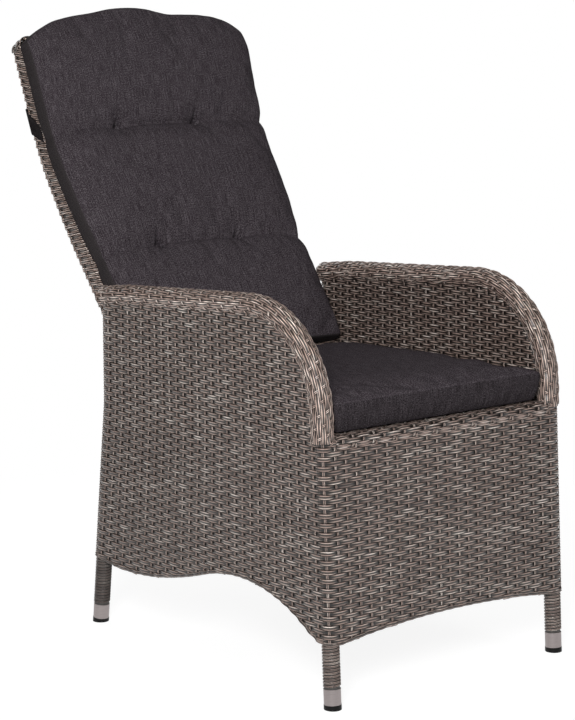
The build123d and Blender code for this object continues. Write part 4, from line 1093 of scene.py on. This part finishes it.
class ARMCHAIR_OT_seat_cushion(ArmchairOperator):
    """Makes the box seat cushion."""

    bl_idname = "armchair.seat_cushion"
    bl_label = "Seat cushion"
    group = "armchair_cushions"

    def make(self, cushions):
        half_x, front, rear, thick = 229.5, -444.5, 61.0, 53.0
        half_y, middle = (rear - front) / 2, (rear + front) / 2
        face = cloth_material("slub_weave_polyester", "#242022", cushions.face, "#6c666a", 0.3)
        # The same cloth on the upright sides, in darker colours that paint the shade they stand in
        side = cloth_material("slub_weave_polyester_painted_shade", "#1d1a1c", "#342f32", "#575155", 0.3)

        def place(u, v, level):
            rim = np.maximum(np.abs(u), np.abs(v)) ** 30
            tuck = 1 - rim * (0.034 * (1 - level) ** 2 + 0.003 * level**4)
            x, y = rounded_plan(u, v, half_x, half_y, 7.0)
            x, y = x * tuck + 1.0, y * tuck
            crown = 6.0 * ((1 - u**2) * (1 - v**2)) ** 0.4
            edge = 2.5 * rim
            high = level * (thick + crown - edge) + (1 - level) * (1.0 + edge)
            y = middle + y
            return np.stack([x, y, SEAT_TOP_Z - (y - leg_y(FRONT_RAIL_Z)) * SEAT_FALL + high], axis=-1)

        def flat(u, v):
            return np.stack([u * half_x, v * half_y], axis=-1)

        columns, rows = int(2 * half_x / cushions.cell), int(2 * half_y / cushions.cell)
        piece, v, rim = shell("seat_cushion_cover", columns, rows, 6, place, flat, [face, side])
        held = np.zeros(len(piece.data.vertices))
        held[rim] = 0.95
        held[len(v) : 2 * len(v)] = 1.0
        inflate(piece, held, cushions, 0.2)
        subdivided(piece)
        place_piece(piece, "base", "cushion_cloth", "seat_cushion")


class ARMCHAIR_OT_back_cushion(ArmchairOperator):
    """Makes the long back cushion: three sections, two tufted seams and a lobed top."""

    bl_idname = "armchair.back_cushion"
    bl_label = "Back cushion"
    group = "armchair_cushions"

    def make(self, cushions):
        low_s, thick, half_x = 36.0, 33.0, 240.0
        face = cloth_material("slub_weave_polyester", "#242022", cushions.face, "#6c666a", 0.3)
        band = cloth_material("plain_weave_polyester", "#2c2829", cushions.gusset, "#4a4546", 0.15)
        along = (36.0, 142.0, 196.0, 263.0, 329.0, 397.0, 444.0, 579.0, 662.0, 756.0)
        middles = (0.0, 0.0, 0.6, 0.6, 4.5, 7.5, 9.0, 13.0, 17.5, 14.0)
        half_widths = (226.0, 227.0, 228.2, 228.6, 236.5, 240.0, 241.0, 245.5, 249.5, 246.0)

        def lobed_top(x):
            across = (-240, -225, -179, -135, -91, -53, -25, 3, 30, 63, 78, 141, 180, 208, 230, 240)
            top = (690, 708, 730, 739, 744, 751, 753, 753, 750, 741, 738, 737, 732, 723, 708, 696)
            return sum(np.interp(x + shift, across, top) for shift in (-10, -5, 0, 5, 10)) / 5

        def place(u, v, level):
            x = u * half_x
            low, top = v < V_SEAMS[0], v > V_SEAMS[1]
            one, two = seam(x, 0), seam(x, 1)
            s = one + (v - V_SEAMS[0]) / (V_SEAMS[1] - V_SEAMS[0]) * (two - one)
            s = np.where(low, low_s + (v + 1) / (1 + V_SEAMS[0]) * (one - low_s), s)
            s = np.where(top, two + (v - V_SEAMS[1]) / (1 - V_SEAMS[1]) * (lobed_top(x) - two), s)
            pinch = sum(bell(s - seam(x, row), 14.0) for row in (0, 1))
            x = np.interp(s, along, middles) + u * (np.interp(s, along, half_widths) - 3.5 * pinch)
            ends = 1 - 0.6 * np.clip(np.maximum(-v, (v - V_SEAMS[1]) / (1 - V_SEAMS[1])), 0, 1) ** 10
            crown = 17.0 * (1 - u**2) ** 0.4 * ends
            swell = 1.5 * np.sin(math.pi * level) * (1 - pinch)
            out = PAD_REAR + 0.4 + level * (thick * (0.7 + 0.3 * ends) + crown - 4.0 * pinch)
            y, z = back_point(s, out)
            return np.stack([x + np.sign(u) * swell * np.abs(u) ** 30, y, z], axis=-1)

        def flat(u, v):
            return np.stack([u * 236.0, v * 360.0], axis=-1)

        columns, rows = int(2 * half_x / cushions.cell) | 1, int(720 / cushions.cell)
        piece, v, rim = shell("back_cushion_cover", columns, rows, 5, place, flat, [face, band])
        held = np.zeros(len(piece.data.vertices))
        held[rim] = 0.97
        held[len(v) :] = 1.0
        near = np.minimum(np.abs(v - V_SEAMS[0]), np.abs(v - V_SEAMS[1])) < 0.012
        held[: len(v)][near] = 0.96
        inflate(piece, held, cushions, 0.45)
        points = tufted(subdivided(piece))
        write_points(piece.data, points * MM)
        place_piece(piece, "backrest", "cushion_cloth", "back_cushion")


def seam(x, row):
    """Place of a seam of the back cushion along the backrest: it sags towards both sides."""
    return CREASES[row] - (14.0, 5.0)[row] * (np.abs(x) / 235.0) ** 3


def bell(distance, width):
    """Bell curve of a distance."""
    return np.exp(-((distance / width) ** 2))


def tufted(points):
    """Draws the seams and the tufts in: each dent is a bell curve of the distance, with a few folds."""
    high = back_height(points)
    y, z = back_point(high, 0.0)
    lean = LEAN_LOW - np.clip(high - BACK_STRAIGHT, 0, BACK_BEND) / BACK_BEND_RADIUS
    out = (y - points[:, 1]) * np.cos(lean) + (points[:, 2] - z) * np.sin(lean)
    x, depth = points[:, 0], 0
    for row, tufts in enumerate(TUFTS):
        away = high - seam(x, row)
        between = 0.3 + 0.7 * np.exp(-(((x - sum(tufts) / 2) / 105.0) ** 6))
        depth = depth + between * (7.5 * bell(away, 4.0) + 3.0 * bell(away, 20.0))
        for tuft in tufts:
            reach = np.hypot(x - tuft, away)
            folds = np.cos(5 * np.arctan2(away, x - tuft) + tuft)
            depth = depth + 23.0 * bell(reach, 6.5) + 7.5 * bell(reach, 28.0)
            depth = depth + 2.0 * folds * bell(reach - 18, 9.0)
            depth = depth + 8.0 * bell(x - tuft, 4.0) * bell(away - 13, 11.0)
    depth = depth * np.clip((out - PAD_REAR - 12) / 22.0, 0, 1)
    points[:, 1] += depth * np.cos(lean)
    points[:, 2] -= depth * np.sin(lean)
    return points


class ARMCHAIR_OT_strap(ArmchairOperator):
    """Makes the elastic strap round the backrest."""

    bl_idname = "armchair.strap"
    bl_label = "Elastic strap"

    def make(self, _):
        rear, front, thick, half_wide = SKIN_R + 3.3, 15.5, 1.6, 24.0
        side = HOOP_X + BACK_R + 2.4
        corners = [(side, front, 0), (side, -rear, 0), (-side, -rear, 0), (-side, front, 0)]
        route = fillet_path(corners, (3.0, 3.0), 2.5)
        line = unit(np.gradient(route, axis=0))
        inward = np.stack([line[:, 1], -line[:, 0]], axis=-1)

        def place(u, v, level):
            at = (u + 1) / 2 * (len(route) - 1)
            x, out = (rows_at(route[:, :2], at) + rows_at(inward, at) * thick * (1 - level)).T
            share, across = (out + rear) / (rear + front), v * half_wide
            y, z = back_point(561 + across * (1 - 0.35 * share) - 38.0 * share, out)
            return np.stack([x, y, z], axis=-1)

        def flat(u, v):
            return np.stack([v * half_wide, (u + 1) / 2 * (len(route) - 1) * 2.5], axis=-1)

        material = cloth_material("elastic_webbing", "#1a1819", "#282526", "#393536", 0.7)
        piece, _, _ = shell("back_strap_band", len(route), 13, 1, place, flat, [material])
        place_piece(piece, "backrest", "strap_cloth", "back_strap")


class ARMCHAIR_OT_fittings(ArmchairOperator):
    """Gives every visible metal and moulded part its finish."""

    bl_idname = "armchair.fittings"
    bl_label = "Fittings"

    def make(self, _):
        # Name, colour, roughness, metallic, grain along X, Y and Z, bump depth, then unevenness and gloss
        finishes = {
            # Powder coat: fine orange peel, satin
            "frame": ("powder_coated_aluminium", "#4a4745", 0.48, 0.0, (700.0,) * 3, 0.12),
            # Drawn tube, brushed round: streaks run round the leg
            "sleeve": ("brushed_aluminium", "#a09796", 0.36, 0.85, (60.0, 60.0, 2600.0), 0.15, 0.1),
            # Moulded polypropylene: soft grain, almost no gloss
            "cap": ("moulded_polypropylene", "#0b0b0b", 0.5, 0.0, (1500.0,) * 3, 0.2, 0.06, 0.2),
            # Moulded nylon: a grip with a coarse soft grain, and smooth pale bushes
            "grip": ("moulded_nylon_black", "#191919", 0.55, 0.0, (1800.0,) * 3, 0.3),
            "bush": ("moulded_nylon_natural", "#d8d4c8", 0.45, 0.0, (900.0,) * 3, 0.06),
            # Steel: sprayed an even black, ground and chromed with fine rings, or zinc plated with a spangle
            "cylinder": ("painted_steel_black", "#151516", 0.38, 0.0, (500.0,) * 3, 0.08),
            "rod": ("ground_chromed_steel", "#d2d2d3", 0.12, 1.0, (2500.0, 60.0, 60.0), 0.03, 0.04),
            "steel": ("zinc_plated_steel", "#b9b8b2", 0.34, 1.0, (420.0,) * 3, 0.08, 0.1),
        }
        for entry in frame["record"]["subparts"]:
            if entry["material_slot"] in finishes:
                slots = frame["nodes"][entry["node"]].data.materials
                slots.clear()
                slots.append(surface_material(*finishes[entry["material_slot"]]))


def seen_by(tree, *rays):
    """One for rays of the kinds named, else zero."""
    path = add(tree, "ShaderNodeLightPath").outputs
    seen = path[rays[0]]
    for ray in rays[1:]:
        seen = math_node(tree, "MAXIMUM", seen, path[ray])
    return seen


def mixed_shader(tree, share, one, other):
    """One shader where the share is zero, the other where it is one."""
    return add(tree, "ShaderNodeMixShader", {0: share, 1: one, 2: other}).outputs[0]


class ARMCHAIR_OT_studio(ArmchairOperator):
    """Sets the floor, the backdrop, the soft lights and the camera."""

    bl_idname = "armchair.studio"
    bl_label = "Studio"
    group = "armchair_studio"

    def make(self, studio):
        scene = bpy.context.scene
        scene.view_settings.view_transform = "Standard"
        white = (1, 1, 1, 1)

        # The floor lights the chair as a plain grey one, but a camera sees it white with a faint shadow
        material = bpy.data.materials.new("studio_floor")
        tree = emptied(material)
        plain = add(tree, "ShaderNodeBsdfDiffuse", {"Color": colour(studio.floor)}).outputs[0]
        faint = add(tree, "ShaderNodeBsdfDiffuse", {"Color": colour("#8c8c8c")}).outputs[0]
        glow = add(tree, "ShaderNodeEmission", {"Color": white, "Strength": 0.89}).outputs[0]
        near = add(tree, "ShaderNodeAddShader", {0: faint, 1: glow}).outputs[0]
        place = add(tree, "ShaderNodeTexCoord").outputs["Object"]
        distance = add(tree, "ShaderNodeVectorMath", {0: place}, operation="LENGTH").outputs["Value"]
        beyond = add(tree, "ShaderNodeEmission", {"Color": white, "Strength": 1.0}).outputs[0]
        shown = mixed_shader(tree, map_range(tree, distance, 0.5, 1.3), near, beyond)
        seen = seen_by(tree, "Is Camera Ray", "Is Glossy Ray", "Is Transmission Ray")
        add(tree, "ShaderNodeOutputMaterial", {"Surface": mixed_shader(tree, seen, plain, shown)})
        reach = 12000.0
        corners = np.array([(-reach, -reach, 0), (reach, -reach, 0), (reach, reach, 0), (-reach, reach, 0)])
        floor = new_piece("studio_floor", corners, [np.array([[0, 1, 2, 3]])], [material])
        floor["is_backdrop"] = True

        scene.world = bpy.data.worlds.new("studio_world")
        tree = emptied(scene.world)
        soft = add(tree, "ShaderNodeBackground", {"Color": white, "Strength": 0.11}).outputs[0]
        blank = add(tree, "ShaderNodeBackground", {"Color": white, "Strength": 1.0}).outputs[0]
        seen = seen_by(tree, "Is Camera Ray", "Is Transmission Ray")
        add(tree, "ShaderNodeOutputWorld", {"Surface": mixed_shader(tree, seen, soft, blank)})

        self.lamp("key_light", (-2.35, -2.45, 1.9), 1.0, studio.key_power)
        self.lamp("fill_light", (1.2, -3.2, 1.7), 1.2, studio.fill_power)
        self.lamp("rear_light", (0.7, 3.1, 1.7), 2.0, studio.fill_power * 1.9)
        self.lamp("top_light", (0.2, 0.6, 3.4), 2.0, studio.fill_power / 3)

        lens = bpy.data.cameras.new("studio_camera")
        lens.lens, lens.sensor_width, lens.clip_end = 116.6, 36.0, 60.0
        place, target = (-2.5625, -3.18603, 1.1861), (0.0, -0.04383, 0.4807)
        scene.camera = self.aimed("studio_camera", lens, place, target)

    def lamp(self, name, place, size, power):
        """Square soft light that looks at the chair."""
        light = bpy.data.lights.new(name, "AREA")
        light.size = size
        light.energy = power
        self.aimed(name, light, place, (0, -0.05, 0.5))

    def aimed(self, name, data, place, target):
        """Object set in place, looking at a target with its top up."""
        made = bpy.data.objects.new(name, data)
        bpy.context.scene.collection.objects.link(made)
        back = unit(np.subtract(place, target))
        right = unit(np.cross((0, 0, 1.0), back))
        matrix = np.eye(4)
        matrix[:3] = np.stack([right, np.cross(back, right), back, place], axis=1)
        made.matrix_world = [tuple(row) for row in matrix.T]
        return made


class ARMCHAIR_PT_panel(bpy.types.Panel):
    """Buttons and settings of the armchair."""

    bl_idname = "ARMCHAIR_PT_panel"
    bl_label = "Armchair"
    bl_space_type = "VIEW_3D"
    bl_region_type = "UI"
    bl_category = "Armchair"

    def draw(self, context):
        for name in GROUPS:
            group, box = getattr(context.scene, name), self.layout.box()
            for key in group.bl_rna.properties.keys():
                if key not in ("rna_type", "name"):
                    box.prop(group, key)
        for operator in OPERATORS:
            self.layout.operator(operator.bl_idname)


GROUPS = {
    "armchair_wicker": WickerSettings,
    "armchair_cushions": CushionSettings,
    "armchair_studio": StudioSettings,
}
OPERATORS = (
    ARMCHAIR_OT_studio,
    ARMCHAIR_OT_fittings,
    ARMCHAIR_OT_sides,
    ARMCHAIR_OT_aprons,
    ARMCHAIR_OT_rolls,
    ARMCHAIR_OT_leg_wraps,
    ARMCHAIR_OT_backrest,
    ARMCHAIR_OT_deck,
    ARMCHAIR_OT_seat_cushion,
    ARMCHAIR_OT_back_cushion,
    ARMCHAIR_OT_strap,
)


def register():
    """Registers the settings, the operators and the panel."""
    for name, group in GROUPS.items():
        bpy.utils.register_class(group)
        setattr(bpy.types.Scene, name, bpy.props.PointerProperty(type=group))
    for operator in OPERATORS:
        bpy.utils.register_class(operator)
    bpy.utils.register_class(ARMCHAIR_PT_panel)


def unregister():
    """Removes what register added."""
    bpy.utils.unregister_class(ARMCHAIR_PT_panel)
    for operator in reversed(OPERATORS):
        bpy.utils.unregister_class(operator)
    for name, group in reversed(GROUPS.items()):
        delattr(bpy.types.Scene, name)
        bpy.utils.unregister_class(group)


def main():
    register()
    for operator in OPERATORS:
        group, name = operator.bl_idname.split(".")
        getattr(getattr(bpy.ops, group), name)()
    boxes = {"cad": cad_box, "visual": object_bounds()}
    {name: [[float(x) for x in corner] for corner in box] for name, box in boxes.items()}


if __name__ == "__main__":
    main()
